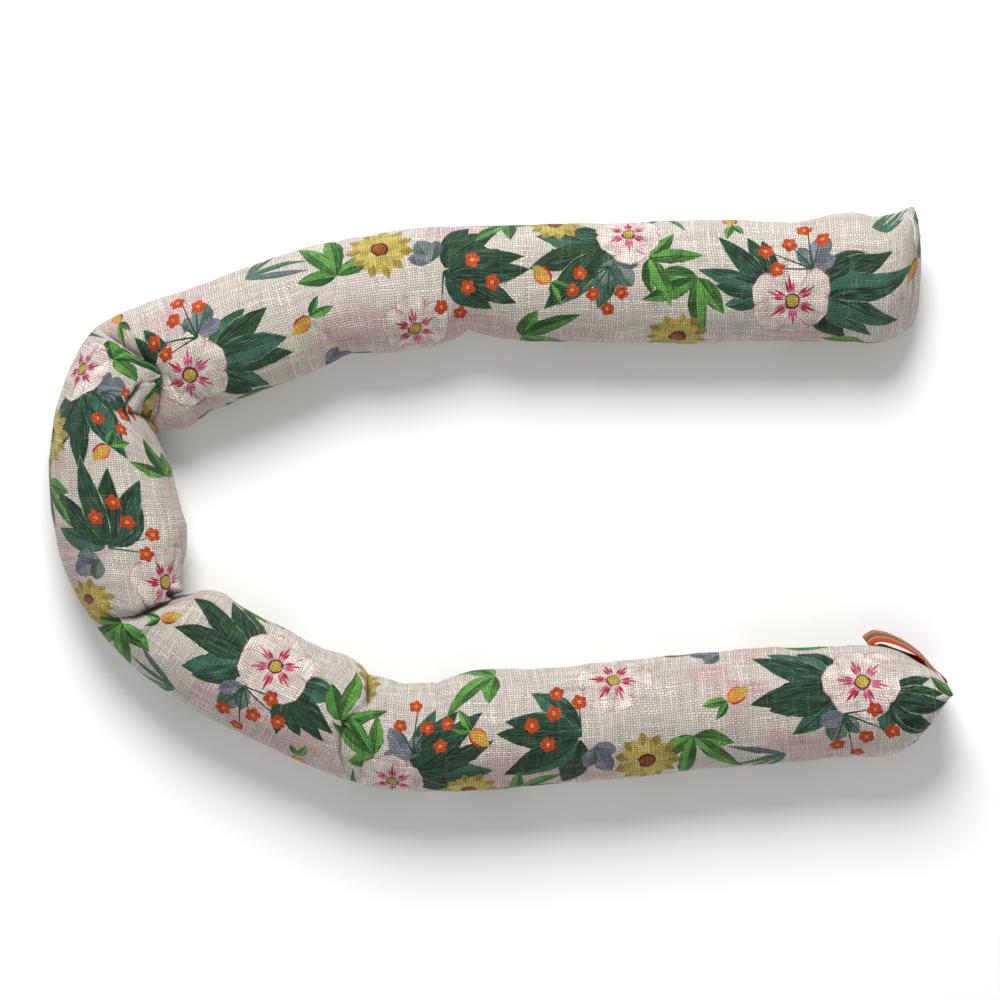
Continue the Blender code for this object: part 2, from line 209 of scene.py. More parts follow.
def skin(knots, columns, along, turn, folded=True):
    """Points of the tube's skin, in millimetres, at distances along it and turns round it."""
    values = hermite(knots, columns, along)
    ahead = hermite(knots, columns, np.minimum(along + SLOPE_STEP, knots[-1]))
    behind = hermite(knots, columns, np.maximum(along - SLOPE_STEP, 0.0))
    outer, inner = values[:, [0, 1, 4]], values[:, [2, 3, 5]]
    middle, half = (outer + inner) / 2, (outer - inner) / 2
    across, up = np.cos(turn)[:, None], np.sin(turn)[:, None]
    outer_step, inner_step = (ahead - behind)[:, [0, 1, 4]], (ahead - behind)[:, [2, 3, 5]]
    local_step = outer_step * (1 + across) / 2 + inner_step * (1 - across) / 2
    pace = np.clip(np.linalg.norm(local_step, axis=1) / (2 * SLOPE_STEP), 0.0, 1.0)
    travel = unit((outer_step + inner_step) * (1.0, 1.0, 0.0))
    crown = unit(np.cross(half, travel)) * values[:, 6:7]
    offset = half * across + crown * up

    push = np.zeros_like(offset)
    outward = travel * np.sign(along - knots[-1] / 2)[:, None]
    for name, corner, other, length, bow in ENDS:
        line = np.subtract(corner, other)
        near = np.clip(1 - np.abs(along - station(knots, name)) / length, 0.0, 1.0)
        offset, inside = pinch(offset, half, crown, near, unit(line), np.linalg.norm(line) / 2)
        push += outward * (bow * near**2 * inside)[:, None]

    shrink = np.zeros(len(along))
    for name, shift, depth, centre, spread, before, after, lean, bow, bow_turn in FOLDS if folded else ():
        bent = bow * np.exp(-((turn_between(turn, bow_turn) / BOW_SPREAD) ** 2))
        x = along - station(knots, name) - shift - bent
        away = np.sqrt(x**2 + VALLEY_ROUND**2) - VALLEY_ROUND
        share = np.exp(-((turn_between(turn, centre) / spread) ** 2))
        shrink += depth * share * np.exp(-away / np.where(x < 0, before, after))
        bulge = np.exp(-(((x * np.sign(lean) - LEAN_CENTRE) / LEAN_WIDTH) ** 2))
        push -= travel * (lean * share * pace * bulge)[:, None]

    reach = np.linalg.norm(offset, axis=1)
    kept = np.maximum(1 - shrink / np.maximum(reach, MM), LEAST_LEFT)
    points = middle + offset * kept[:, None] + push
    points[:, 2] = np.maximum(points[:, 2], 0.0)
    return points


# ---------------------------------------------------------------- fine creases, puckers and lumps

# As seen from above: depth, reach to the left and to the right of the line, and the line's points in order.
CREASES = (
    (4.4, 4.0, 0.6, ((-202.0, 87.5), (-195.0, 83.0), (-187.5, 78.0), (-180.0, 72.5), (-171.0, 66.5))),
    (4.2, 4.0, 0.6, ((-171.5, 67.5), (-169.5, 57.5), (-168.5, 50.0), (-169.0, 42.5), (-172.5, 36.0))),
    (6.0, 3.0, 0.8, ((-178.0, 60.0), (-180.5, 53.5), (-184.5, 48.5), (-187.0, 42.0))),
    (5.0, 3.2, 0.8, ((-187.5, 42.5), (-180.0, 41.0), (-175.0, 38.5), (-171.0, 35.0))),
    (2.4, 1.6, 0.9, ((-165.5, 62.5), (-162.0, 56.0), (-158.5, 48.0))),
    (2.6, 3.0, 3.0, ((-156.0, 55.0), (-150.0, 49.0), (-143.5, 45.5))),
    (1.0, 3.0, 2.0, ((-190.0, 70.0), (-183.0, 62.0), (-178.0, 52.0))),
    (4.2, 3.2, 0.6, (
        (-159.5, -50.5), (-168.5, -52.0), (-175.0, -55.0), (-182.0, -58.0), (-190.0, -59.0), (-195.0, -56.0),
    )),
    (2.6, 3.0, 3.0, ((-171.5, -60.0), (-176.0, -66.0), (-181.0, -72.5))),
    (1.2, 2.5, 2.5, ((-160.0, -60.0), (-163.0, -69.0), (-168.0, -77.0))),
    (4.0, 3.2, 0.6, ((-66.0, -84.5), (-65.5, -92.5), (-65.5, -98.5), (-66.0, -102.0))),
    (4.2, 2.2, 2.2, (
        (-66.0, -101.0), (-72.0, -104.5), (-77.0, -110.0), (-79.5, -119.0), (-80.0, -128.0), (-77.0, -137.0),
    )),
    (2.2, 1.5, 1.2, ((-67.0, -102.5), (-62.0, -104.0), (-57.0, -109.0))),
    (2.0, 1.8, 1.0, ((-32.0, -91.0), (-31.0, -96.0), (-29.5, -101.0))),
    (0.9, 1.2, 1.2, ((-52.5, -106.0), (-50.5, -108.5), (-49.0, -111.5))),
    (1.2, 2.2, 2.2, ((-15.5, 83.0), (-20.0, 86.5), (-24.0, 91.0))),
    (0.9, 3.0, 3.0, ((-34.0, 78.0), (-41.0, 85.0), (-50.0, 90.0))),
    (1.1, 3.0, 3.0, ((-80.0, 72.0), (-85.0, 80.0), (-93.0, 87.0))),
    (1.4, 3.0, 3.0, ((189.0, 141.5), (192.0, 134.0), (196.5, 125.0), (201.5, 112.0))),
    (3.2, 0.9, 1.4, (
        (205.6, 137.0), (206.4, 126.0), (206.4, 114.0), (205.8, 101.0), (204.6, 91.0), (202.6, 84.0),
    )),
)
CREASE_ROUND = 0.3  # how round the bottom of a crease is
CREASE_FADE = 0.6  # how bluntly a crease's depth fades at both ends of its line, as a power
SEARCH = 14.0  # how far from its line a crease's effect is worked out
SHADED = 0.35  # how far a crease's painted shade reaches, as a share of its reach
# the creases, as heights round the skin from -1 to 1: they begin at the first and are whole from the second
NONE_BELOW, FULL_ABOVE = -0.45, 0.05
# x, y, height, radius: a knob of cloth beside the lower fold and the hole in it, which is darkened with
# painted shade
KNOBS = ((-162.0, -46.5, 4.2, 3.6), (-164.0, -47.0, -9.0, 1.5))
# length of the wave along the tube, waves round it, height: the filling's soft lumps
LUMPS = ((67.0, 2, 0.35), (41.0, 3, 0.28), (29.0, 4, 0.22), (19.0, 3, 0.16), (13.0, 5, 0.10))


def from_line(points, line):
    """Signed distance from a line, positive on its left, and how far along it each point lies, 0 to 1."""
    line = np.array(line)
    legs = np.linalg.norm(np.diff(line, axis=0), axis=1)
    run = np.concatenate([[0.0], np.cumsum(legs)])
    best = np.full(len(points), np.inf)
    signed, share = np.zeros(len(points)), np.zeros(len(points))
    for a, b, start, leg in zip(line, line[1:], run, legs):
        way = (b - a) / leg
        x = (points - a) @ way
        y = (points - a) @ np.array([-way[1], way[0]])
        t = np.clip(x, 0.0, leg)
        away = np.hypot(x - t, y)
        closer = away < best
        best = np.where(closer, away, best)
        signed = np.where(closer, np.copysign(away, y), signed)
        share = np.where(closer, (start + t) / run[-1], share)
    return signed, share


def detail(points, along, turn):
    """How far creases, knobs and lumps draw each point in, and the painted shade each point gets from lying
    deep in a crease or hole.
    """
    plan = points[:, :2]
    above = np.clip((np.sin(turn) - NONE_BELOW) / (FULL_ABOVE - NONE_BELOW), 0.0, 1.0)
    drawn, painted_shade = np.zeros(len(points)), np.zeros(len(points))
    for depth, left, right, line in CREASES:
        low, high = np.min(line, axis=0) - SEARCH, np.max(line, axis=0) + SEARCH
        near = np.flatnonzero(((plan > low) & (plan < high)).all(axis=1) & (above > 0))
        away, share = from_line(plan[near], line)
        fade = np.clip(4.0 * share * (1 - share), 0.0, 1.0) ** CREASE_FADE
        reach = np.where(away > 0, left, right)
        away = np.sqrt(away**2 + CREASE_ROUND**2) - CREASE_ROUND
        drawn[near] += depth * fade * np.exp(-away / reach) * above[near]
        # painted shade: darker nearer the crease's line, in a narrower band than the crease itself
        painted_shade[near] += depth * fade * np.exp(-away / (reach * SHADED)) * above[near]
    for x, y, height, radius in KNOBS:
        close = np.exp(-((plan - (x, y)) ** 2).sum(axis=1) / radius**2) * above
        drawn -= height * close
        # painted shade in the knob's hole, as deep as the hole
        painted_shade += max(-height, 0.0) * close
    for wave, waves, height in LUMPS:
        phase = wave * 1.7  # any number that differs from wave to wave
        swell = np.sin(2 * math.pi * along / wave + phase) * np.cos(waves * turn + 0.6 * phase)
        drawn += height * swell
    return drawn, painted_shade

# ---------------------------------------------------------------- the skin on a fine grid

ALONG_STEP = 1.0
TURN_STEP = math.radians(1.5)
ROUND_RADIUS = 28.5  # the tube's mean radius, which turns angles into lengths in the mesh's plan
CALM_END, CALM_SHARE = 12.0, 0.25  # the fine creases lessen this near an end, down to this share
PACE_BLUR = 3  # how many columns on each side a pace is averaged with
# the rows at each end whose paces the pinch upsets, and the rows whose paces they take instead
END_PACES = ((slice(None, 30), slice(20, 40)), (slice(-46, None), slice(-60, -46)))
SPARE_DEPTH = 2.2  # the most cloth that a fold takes up, as a share of its depth
EAR_SHARE = 0.3  # how much of an end's extra length is left at the two ears of its seam

# where the bend's spare cloth is taken up: from one section to another, into a fold
TAKEN_UP = (
    ("nick_2", "bend_middle", "upper_fold"),
    ("bend_middle", "arm_start", "lower_fold"),
    ("arm_start", "nick_3", "arm_fold"),
)


class Skin:
    """The cloth's skin on a fine grid of along and turn: its points, and the cloth's own coordinates."""

    def __init__(self):
        self.knots, self.columns = route_of(SECTIONS)
        self.length = self.knots[-1]
        self.along = np.linspace(0.0, self.length, int(self.length / ALONG_STEP) + 1)
        count = int(round(2 * math.pi / TURN_STEP))
        self.turn = -math.pi / 2 + np.arange(count + 1) * 2 * math.pi / count
        self.points = self.surface(True)
        self.measure()
        self.round_ends()

    def surface(self, folded):
        grid_along, grid_turn = np.meshgrid(self.along, self.turn, indexing="ij")
        found = skin(self.knots, self.columns, grid_along.ravel(), grid_turn.ravel(), folded)
        return found.reshape(len(self.along), len(self.turn), 3)

    def worked(self, along, turn):
        """Points of the skin with its fine creases, and the painted shade of each from how deep in a crease
        it lies.
        """
        points = skin(self.knots, self.columns, along, turn)
        values = hermite(self.knots, self.columns, along)
        middle = (values[:, [0, 1, 4]] + values[:, [2, 3, 5]]) / 2
        drawn, painted_shade = detail(points, along, turn)
        ends = np.clip(np.minimum(along, self.length - along) / CALM_END, 0.0, 1.0)
        points = points - unit(points - middle) * (drawn * np.maximum(ends, CALM_SHARE))[:, None]
        points[:, 2] = np.maximum(points[:, 2], 0.0)
        return points, painted_shade

    def measure(self):
        """The cloth's own coordinates: along it from the closed end, and across it from its top line."""
        paces = np.linalg.norm(np.diff(self.points, axis=0), axis=2)
        paces = sum(np.roll(paces, k, axis=1) for k in range(-PACE_BLUR, PACE_BLUR + 1)) / (2 * PACE_BLUR + 1)
        for upset, sound in END_PACES:
            paces[upset] = np.median(paces[sound])
        run = np.concatenate([np.zeros((1, len(self.turn))), np.cumsum(paces, axis=0)])
        longest = np.concatenate([[0.0], np.cumsum(paces.max(axis=1))])
        self.cloth_length = longest[-1]
        missing = longest[:, None] - run
        u = np.repeat(longest[:, None], len(self.turn), axis=1)
        for first, last, fold in TAKEN_UP:
            a, b = (np.searchsorted(self.along, station(self.knots, name)) for name in (first, last))
            total = missing[b] - missing[a]
            _, shift, depth, centre, spread, _, _, _, bow, bow_turn = next(f for f in FOLDS if f[0] == fold)
            share = np.exp(-((turn_between(self.turn, centre) / spread) ** 2))
            taken = np.minimum(total, SPARE_DEPTH * depth * share)
            grown = np.clip((missing - missing[a]) / np.maximum(total, TINY), 0.0, 1.0)
            grown[: a + 1] = 0.0
            grown[b:] = 1.0
            bent = bow * np.exp(-((turn_between(self.turn, bow_turn) / BOW_SPREAD) ** 2))
            past = self.along[:, None] - station(self.knots, fold) - shift - bent
            u -= taken * (grown - (1 + np.tanh(past)) / 2)
        self.u = np.maximum.accumulate(u, axis=0)
        arc = np.linalg.norm(np.diff(self.surface(False), axis=1), axis=2)
        v = np.concatenate([np.zeros((len(self.along), 1)), np.cumsum(arc, axis=1)], axis=1)
        top = np.searchsorted(self.turn, math.pi / 2)
        self.v = v - v[:, top : top + 1]

    def round_ends(self):
        """How much longer than the grid's paces the cloth is where an end rounds in to its seam."""
        self.rounded = []
        for at, (_, corner, other, length, _) in zip((0.0, self.length), ENDS):
            values = hermite(self.knots, self.columns, np.array([at]))[0]
            half, crown = (values[[0, 1, 4]] - values[[2, 3, 5]]) / 2, values[6]
            seam = np.subtract(corner, other)
            ear = math.atan2(crown * seam[2], half @ seam)
            left = np.linspace(1.0, 0.0, 2001)
            rise = np.sqrt(1 - left**2) * math.sqrt(crown * np.linalg.norm(half))
            arc = np.hypot(np.diff(left * length), np.diff(rise))
            spare = np.append(np.cumsum(arc[::-1])[::-1], 0.0) - left * length
            self.rounded.append((at, (1 - left) * length, spare, ear))
        self.start, self.stop = -self.rounded[0][2][0], self.cloth_length + self.rounded[1][2][0]

    def distance(self, along, turn):
        """How far along the cloth itself a point lies, in millimetres."""
        found = self.sample(self.u, along, turn)
        for at, inside, spare, ear in self.rounded:
            share = EAR_SHARE + (1 - EAR_SHARE) * np.abs(np.sin(turn - ear))
            extra = np.interp(np.abs(along - at), inside, spare) * share
            found = found - extra if at == 0 else found + extra
        return found

    def sample(self, field, along, turn):
        """A field of the grid at any along and turn, by its four nearest points."""
        x = np.clip(along / self.length, 0.0, 1.0) * (len(self.along) - 1)
        y = np.clip((turn - self.turn[0]) / (2 * math.pi), 0.0, 1.0) * (len(self.turn) - 1)
        i = np.minimum(x.astype(int), len(self.along) - 2)
        j = np.minimum(y.astype(int), len(self.turn) - 2)
        fx, fy = x - i, y - j
        if field.ndim == 3:
            fx, fy = fx[:, None], fy[:, None]
        return (
            field[i, j] * (1 - fx) * (1 - fy) + field[i + 1, j] * fx * (1 - fy)
            + field[i, j + 1] * (1 - fx) * fy + field[i + 1, j + 1] * fx * fy
        )

    def place(self, u, v):
        """The along and turn of points given in the cloth's own coordinates."""
        along, count = u * self.length / self.cloth_length, len(u)
        low, high = self.turn[[0, -1]]
        for _ in range(4):
            turn = halved(lambda t: self.sample(self.v, along, t) < v, low, high, count, 18)
            along = halved(lambda a: self.distance(a, turn) < u, 0.0, self.length, count, 20)
        return along, turn


def halved(less, low, high, count, times):
    """Where each of a count of rising values crosses its target, by halving the span it lies in."""
    low, high = np.full(count, low), np.full(count, high)
    for _ in range(times):
        middle = (low + high) / 2
        short = less(middle)
        low, high = np.where(short, middle, low), np.where(short, high, middle)
    return (low + high) / 2


# ---------------------------------------------------------------- the print

# its colours, as they look on the cloth (sRGB, 0 to 255)
DEEP = (12, 34, 23)
FOREST = (34, 68, 38)
PINE = (36, 76, 54)
GREEN = (58, 116, 54)
TEAL = (66, 112, 90)
SAGE = (86, 122, 84)
SPRING = (104, 164, 74)
SHADE = (26, 60, 32)
MIST = (124, 127, 137)
SLATE = (88, 96, 106)
ORANGE = (190, 72, 31)
AMBER = (222, 140, 72)
RUST = (146, 46, 22)
BARK = (82, 44, 34)
CRIMSON = (176, 38, 76)
ROSE = (198, 92, 122)
BLUSH = (214, 190, 186)
PETAL_RIM = (186, 126, 138)
SHELL = (224, 214, 205)
YELLOW = (186, 166, 70)
STRAW = (194, 178, 112)
OLIVE = (148, 126, 54)
MAROON = (114, 32, 56)


LEAST_BEND = 1e-7  # strokes bent less than this, in radians a millimetre, are straight

# a stroke's forms: its half width as a share of the most, from 0 at its start to 1 at its end


def lance(t):
    return np.sin(np.pi * t**0.82) ** 0.9


def blunt(t):
    return np.sin(np.pi * t**1.15) ** 0.62


def oval(t):
    return np.sin(np.pi * t) ** 0.5


def fan(t):
    return np.sin(np.pi * np.clip(t, 0, 1) ** 1.9) ** 0.55


def taper(t):
    return 1.0 - 0.6 * t


class Print:
    """Shapes of ink in the cloth's own plane, in millimetres, in the order in which they are laid down."""

    def __init__(self, seed):
        self.shapes = []
        self.random = random.Random(seed)

    def near(self, value, share=0.15):
        return value * self.random.uniform(1 - share, 1 + share)

    def swing(self, reach):
        return self.random.uniform(-reach, reach)

    def pick(self, *choices):
        return self.random.choice(choices)

    def rough(self, share, like):
        return 1 + share * np.array([self.random.gauss(0, 1) for _ in like])

    def add(self, points, frame, length, half, ink, kind, streak, cover):
        self.shapes.append({
            "points": points, "frame": frame, "length": length, "half": half,
            "ink": ink, "kind": kind, "streak": streak or ink, "cover": cover,
        })

    def stroke(
        self, x, y, angle, length, half, form, ink, kind="flat", streak=None,
        bend=0.0, rough=0.05, cover=1.0, side=0, step=2.8,
    ):
        """A stroke from a point, at an angle and bent by another, whole or only its left or right side."""
        least = 2 if form is taper else 3
        t = np.linspace(0.0, 1.0, max(least, int(length / step) + 2))
        right = -form(t) * half * self.rough(rough, t) * (side <= 0)
        left = form(t) * half * self.rough(rough, t) * (side >= 0)
        along = np.concatenate([t, t[::-1]]) * length
        across = np.concatenate([right, left[::-1]])
        apart = np.abs(np.diff(along)) + np.abs(np.diff(across)) >= TINY
        closed = abs(along[-1] - along[0]) + abs(across[-1] - across[0]) < TINY
        keep = np.append([True], apart)
        keep[-1] &= not closed
        frame = (x, y, math.radians(angle), bend / max(length, TINY) * math.pi / 180)
        self.add(to_plane(frame, along[keep], across[keep]), frame, length, half, ink, kind, streak, cover)

    def dot(self, x, y, radius, ink, kind="flat", streak=None, sides=6):
        turn = self.random.uniform(0, 1)
        angles = (np.arange(sides) + turn) * 2 * np.pi / sides
        reach = radius * self.rough(0.08, angles)
        points = np.stack([x + reach * np.cos(angles), y + reach * np.sin(angles)], 1)
        self.add(points, (x - radius, y, 0.0, 0.0), 2 * radius, radius, ink, kind, streak, 1.0)


def to_plane(frame, along, across):
    """Points given along and across a stroke, on the cloth."""
    x, y, angle, bend = frame
    px, py = along, across
    if abs(bend) > LEAST_BEND:
        reach = 1 / bend - across
        px, py = reach * np.sin(bend * along), 1 / bend - reach * np.cos(bend * along)
    c, s = math.cos(angle), math.sin(angle)
    return np.stack([x + px * c - py * s, y + px * s + py * c], 1)


def ahead(x, y, angle, distance):
    return x + distance * math.cos(math.radians(angle)), y + distance * math.sin(math.radians(angle))


def leaf(p, x, y, angle, length, half, bend, inks, rim=None, form=lance, kind="blade"):
    """A painted leaf: a thin rim, a streaked blade, one half in its own tone and a soft midrib."""
    light, dark, vein = inks
    if rim:
        thin = {"bend": bend * 1.02, "rough": 0.03, "cover": 0.75, "step": 4.5}
        p.stroke(x, y, angle, length + 0.7, half + 0.4, form, rim, **thin)
    side = p.pick(-1, 1)
    p.stroke(x, y, angle, length, half, form, dark, kind, light, bend, 0.04)
    p.stroke(x, y, angle, length * 0.97, half * 0.93, form, light, kind, vein, bend * 0.97, 0.16, side=side)
    ink = p.pick(dark, light, vein)
    p.stroke(x, y, angle, length * 0.9, 0.24, taper, ink, bend=bend * 0.9, rough=0.25, step=7.0)


def spray(p, x, y, angle, size):
    """Six long dark leaves that open like a hand, the outer ones first."""
    for i in (0, 5, 1, 4, 2, 3):
        off = (i + 0.5) / 6 - 0.5
        turn = angle + 150 * off + p.swing(7)
        reach = (1.0 - 0.84 * abs(off)) * p.near(1.0, 0.1)
        bx, by = ahead(x, y, turn, 2.0)
        inks = p.pick((FOREST, DEEP, DEEP), (PINE, DEEP, DEEP), (TEAL, DEEP, PINE))
        half = 6.9 * size * p.near(1, 0.12)
        rim = p.pick(TEAL, SPRING, None)
        leaf(p, bx, by, turn, 50 * size * reach, half, -60 * off + p.swing(14), inks, rim, kind="leaf")


def sprig(p, x, y, angle, size):
    """A bright sprig of pointed leaves, each half light and half dark."""
    for turn, length in ((-78, 23), (64, 21), (-30, 31), (20, 33)):
        turn = angle + turn + p.swing(8)
        inks = p.pick((SPRING, SHADE, GREEN), (SPRING, DEEP, GREEN), (GREEN, SHADE, SPRING))
        leaf(p, x, y, turn, p.near(length * size, 0.1), p.near(4.5 * size, 0.12), p.swing(26), inks)


def willow(p, x, y, angle, size):
    """Four narrow blades in blue-green."""
    for i in range(4):
        turn = angle + (i - 1.5) * 24 + p.swing(5)
        inks = (TEAL, GREEN, SAGE) if i % 2 else (SLATE, TEAL, MIST)
        leaf(p, x, y, turn, p.near(34 * size, 0.15), 2.1 * size, p.swing(24), inks)


def gum(p, x, y, angle, size):
    """Broad rounded leaves in grey-blue."""
    for turn, length in ((0, 21), (48, 15), (-44, 16)):
        turn = angle + turn + p.swing(8)
        inks = p.pick((MIST, SLATE, MIST), (MIST, PINE, SAGE))
        reach, half = p.near(length * size, 0.1), p.near(0.31 * length * size, 0.1)
        leaf(p, x, y, turn, reach, half, p.swing(12), inks, form=blunt)


def blossom(p, x, y, _, size):
    """A round flower of broad pale petals, each with three rose lines, about a plain yellow heart."""
    start = p.random.uniform(0, 360)
    for i in (0, 2, 4, 1, 3, 5):
        turn = start + i * 60 + p.swing(5)
        length, half = p.near(19.0 * size, 0.08), p.near(8.6 * size, 0.08)
        bend = p.swing(12)
        thin = {"bend": bend, "rough": 0.03, "cover": 0.8, "step": 2.6}
        p.stroke(x, y, turn, length + 0.5, half + 0.5, fan, PETAL_RIM, **thin)
        p.stroke(x, y, turn, length, half, fan, SHELL, "petal", BLUSH, bend, step=1.8)
        if i % 2:
            folded = (fan, BLUSH, "petal", SHELL, bend, 0.06, 0.6)
            p.stroke(x, y, turn, length * 0.96, half * 0.9, *folded, side=p.pick(-1, 1))
        for off, reach in ((-15, 7.0), (0, 10.0), (15, 7.0)):
            bx, by = ahead(x, y, turn + off, 3.4 * size)
            line = (turn + 0.6 * off, reach * size, 0.85 * size, lance, p.pick(CRIMSON, ROSE))
            p.stroke(bx, by, *line, bend=0.4 * bend, rough=0.08, step=4.0)
    p.dot(x, y, 3.9 * size, MAROON, sides=12)
    p.dot(x, y, 3.1 * size, YELLOW, "berry", OLIVE, sides=12)


def daisy(p, x, y, _, size):
    """A yellow daisy: two rings of broad petals about a plain brown heart."""
    for first, reach, half, ink in ((0.0, 13.0, 2.7, OLIVE), (0.5, 10.6, 2.3, YELLOW)):
        for i in range(11):
            turn = (i + first) * 360 / 11 + p.swing(3)
            bx, by = ahead(x, y, turn, 2.0 * size)
            petal = (p.near(reach * size, 0.06), p.near(half * size, 0.08), oval, ink, "petal", STRAW)
            p.stroke(bx, by, turn, *petal)
    p.dot(x, y, 4.0 * size, BARK, sides=12)
    p.dot(x, y, 3.0 * size, RUST, "berry", OLIVE, sides=10)


def posy(p, x, y, angle, size):
    """Five small orange flowers of five round petals on green stalks that spread from one point."""
    for i in range(5):
        turn = angle + (i - 2) * 27 + p.swing(5)
        reach = size * (25 if i % 2 else 17) * p.near(1.0, 0.08)
        p.stroke(x, y, turn, reach, 0.55, taper, PINE, bend=p.swing(14), rough=0.1, step=6.0)
        bx, by = ahead(x, y, turn, reach)
        first = p.random.uniform(0, 72)
        for k in range(5):
            p.dot(*ahead(bx, by, first + 72 * k, 2.3 * size), 1.9 * size, ORANGE, "berry", RUST, sides=7)
        p.dot(bx, by, 1.1 * size, AMBER)


def bud(p, x, y, angle, size):
    """A small closed bud of three yellow and orange petals between two leaves."""
    leaf(p, x, y, angle + 150, 12 * size, 2.3 * size, 14, (SPRING, SHADE, SPRING))
    leaf(p, x, y, angle + 210, 10 * size, 2.0 * size, -14, (GREEN, SHADE, SPRING))
    petals = ((-20, 9.5, ORANGE, RUST), (20, 9.5, AMBER, ORANGE), (0, 11.5, YELLOW, AMBER))
    for off, reach, ink, streak in petals:
        p.stroke(x, y, angle + off, reach * size, 2.7 * size, oval, ink, "petal", streak, -off, step=2.2)


TILE = (320.0, 95.0)  # one repeat of the print, along and across the cloth
DROP = 160.0  # each row of repeats starts this much further along
FINE, UNDERSIDE = 1.0, 68.0  # strokes finer than this are left out this far from the top line
# motif, along, across, angle, size: one repeat's motifs, from back to front
LAYOUT = (
    (willow, 286.0, 36.0, 60.0, 0.95),
    (willow, 22.0, -28.0, 200.0, 0.9),
    (spray, 50.0, 8.0, 172.0, 0.95),
    (spray, 74.0, 4.0, -30.0, 0.7),
    (spray, 154.0, -18.0, 22.0, 0.92),
    (spray, 240.0, -6.0, 188.0, 0.94),
    (sprig, 110.0, -2.0, 66.0, 1.05),
    (sprig, 134.0, -12.0, 160.0, 0.85),
    (sprig, 198.0, 32.0, 190.0, 1.0),
    (sprig, 296.0, -12.0, -70.0, 1.05),
    (sprig, 206.0, -42.0, 20.0, 0.85),
    (gum, 52.0, -6.0, -112.0, 0.85),
    (gum, 152.0, -12.0, 118.0, 0.85),
    (gum, 246.0, -12.0, -60.0, 0.8),
    (gum, 312.0, 34.0, 170.0, 0.8),
    (blossom, 62.0, 10.0, 0.0, 1.05),
    (blossom, 144.0, -27.0, 0.0, 0.9),
    (blossom, 258.0, 22.0, 0.0, 1.0),
    (daisy, 120.0, 32.0, 0.0, 1.1),
    (daisy, 272.0, -24.0, 0.0, 1.15),
    (sprig, 24.0, 41.0, 75.0, 1.0),
    (daisy, 182.0, -38.0, 0.0, 1.05),
    (posy, 52.0, -6.0, -50.0, 1.0),
    (posy, 154.0, -8.0, 64.0, 0.9),
    (posy, 240.0, -6.0, 140.0, 1.0),
    (bud, 184.0, 0.0, -40.0, 1.1),
    (bud, 92.0, -34.0, -80.0, 1.0),
    (bud, 314.0, 4.0, 30.0, 1.1),
)


def design(start, length, girth, seed=5):
    """The whole print as placed on the cloth: every repeat of the layout that touches it."""
    found = []
    for row in range(-2, 3):
        for column in range(-2, int(length / TILE[0]) + 2):
            p = Print(seed + 7 * (row % 2) + column)
            for motif, *place in LAYOUT:
                motif(p, *place)
            shift = (column * TILE[0] + row * DROP, row * TILE[1])
            for s in p.shapes:
                points = s["points"] + shift
                low, high = points.min(0), points.max(0)
                if high[0] < start or low[0] > length or high[1] < -girth / 2 or low[1] > girth / 2:
                    continue
                if s["half"] < FINE and np.abs([low[1], high[1]]).min() > UNDERSIDE and low[1] * high[1] > 0:
                    continue
                x, y, *bent = s["frame"]
                found.append(dict(s, points=points, frame=(x + shift[0], y + shift[1], *bent)))
    return found


# ---------------------------------------------------------------- the print cut into the cloth's mesh

WIDE, CLOSE = 3.3, 1.8  # spacing of the mesh's own points: on plain cloth, and near folds and ends
FINEST = 0.8  # and beside the fine creases
FIRST_ROW = 0.12  # from a sewn end to the first row, measured along the tube
CLEAR = 1.1  # the mesh leaves out its own points that share a cell of this size with an outline's
BEYOND_FOLD = 16  # rows are close this far on both sides of a fold
WIDENING = 14  # how far it takes them to widen after that, and how far from an end they are close
STAGGER = 0.25  # how far every other row is shifted, as a share of its spacing
SPARSE = 26  # half of the points nearer than this to the underside's middle are left out
BESIDE, BEHIND = 2.4, 0.6  # how far from a crease its close points reach, and how much more on its right
FACING_UP = -0.3  # the least height round the skin, from -1 to 1, where creases have close points
INSET = 0.35  # the print's outlines stop this far inside the mesh's long edges
END_INSET = 0.03  # and this far from its sewn ends


def rows_along(cloth):
    """Where the mesh's rows of points lie along the tube, and how far apart the points of each row are."""
    folds = [station(cloth.knots, name) for name in ("upper_fold", "lower_fold", "arm_fold")]
    at, rows = 0.0, []
    while at < cloth.length:
        to_end = min(at, cloth.length - at)
        near = min([abs(at - fold) - BEYOND_FOLD for fold in folds] + [to_end - WIDENING])
        step = CLOSE + (WIDE - CLOSE) * min(1.0, max(0.0, near / WIDENING))
        rows.append((at, step))
        at += min(step, FIRST_ROW + 0.5 * math.sqrt(to_end))
    scale = cloth.length / at
    return [(a * scale, step) for a, step in rows] + [(cloth.length, CLOSE)]


def plan_points(cloth):
    """The mesh's own points on the plan: along, and turn as a length."""
    low, high = cloth.turn[0] * ROUND_RADIUS, cloth.turn[-1] * ROUND_RADIUS
    found = []
    for k, (at, step) in enumerate(rows_along(cloth)):
        count = 2 * int(round((high - low) / step / 2))
        across = low + (high - low) * np.arange(count + 1) / count
        inner = across[1:-1]
        if 0 < k and at < cloth.length:
            inner = inner + (STAGGER if k % 2 else -STAGGER) * step
            under = np.minimum(inner - low, high - inner) < SPARSE
            inner = np.concatenate([inner[~under], inner[under][(k % 2) :: 2]])
        found.append(np.stack([np.full(len(inner) + 2, at), np.concatenate([[low], inner, [high]])], 1))
    found.append(crease_points(cloth, low, high))
    return np.concatenate(found), (low, high)


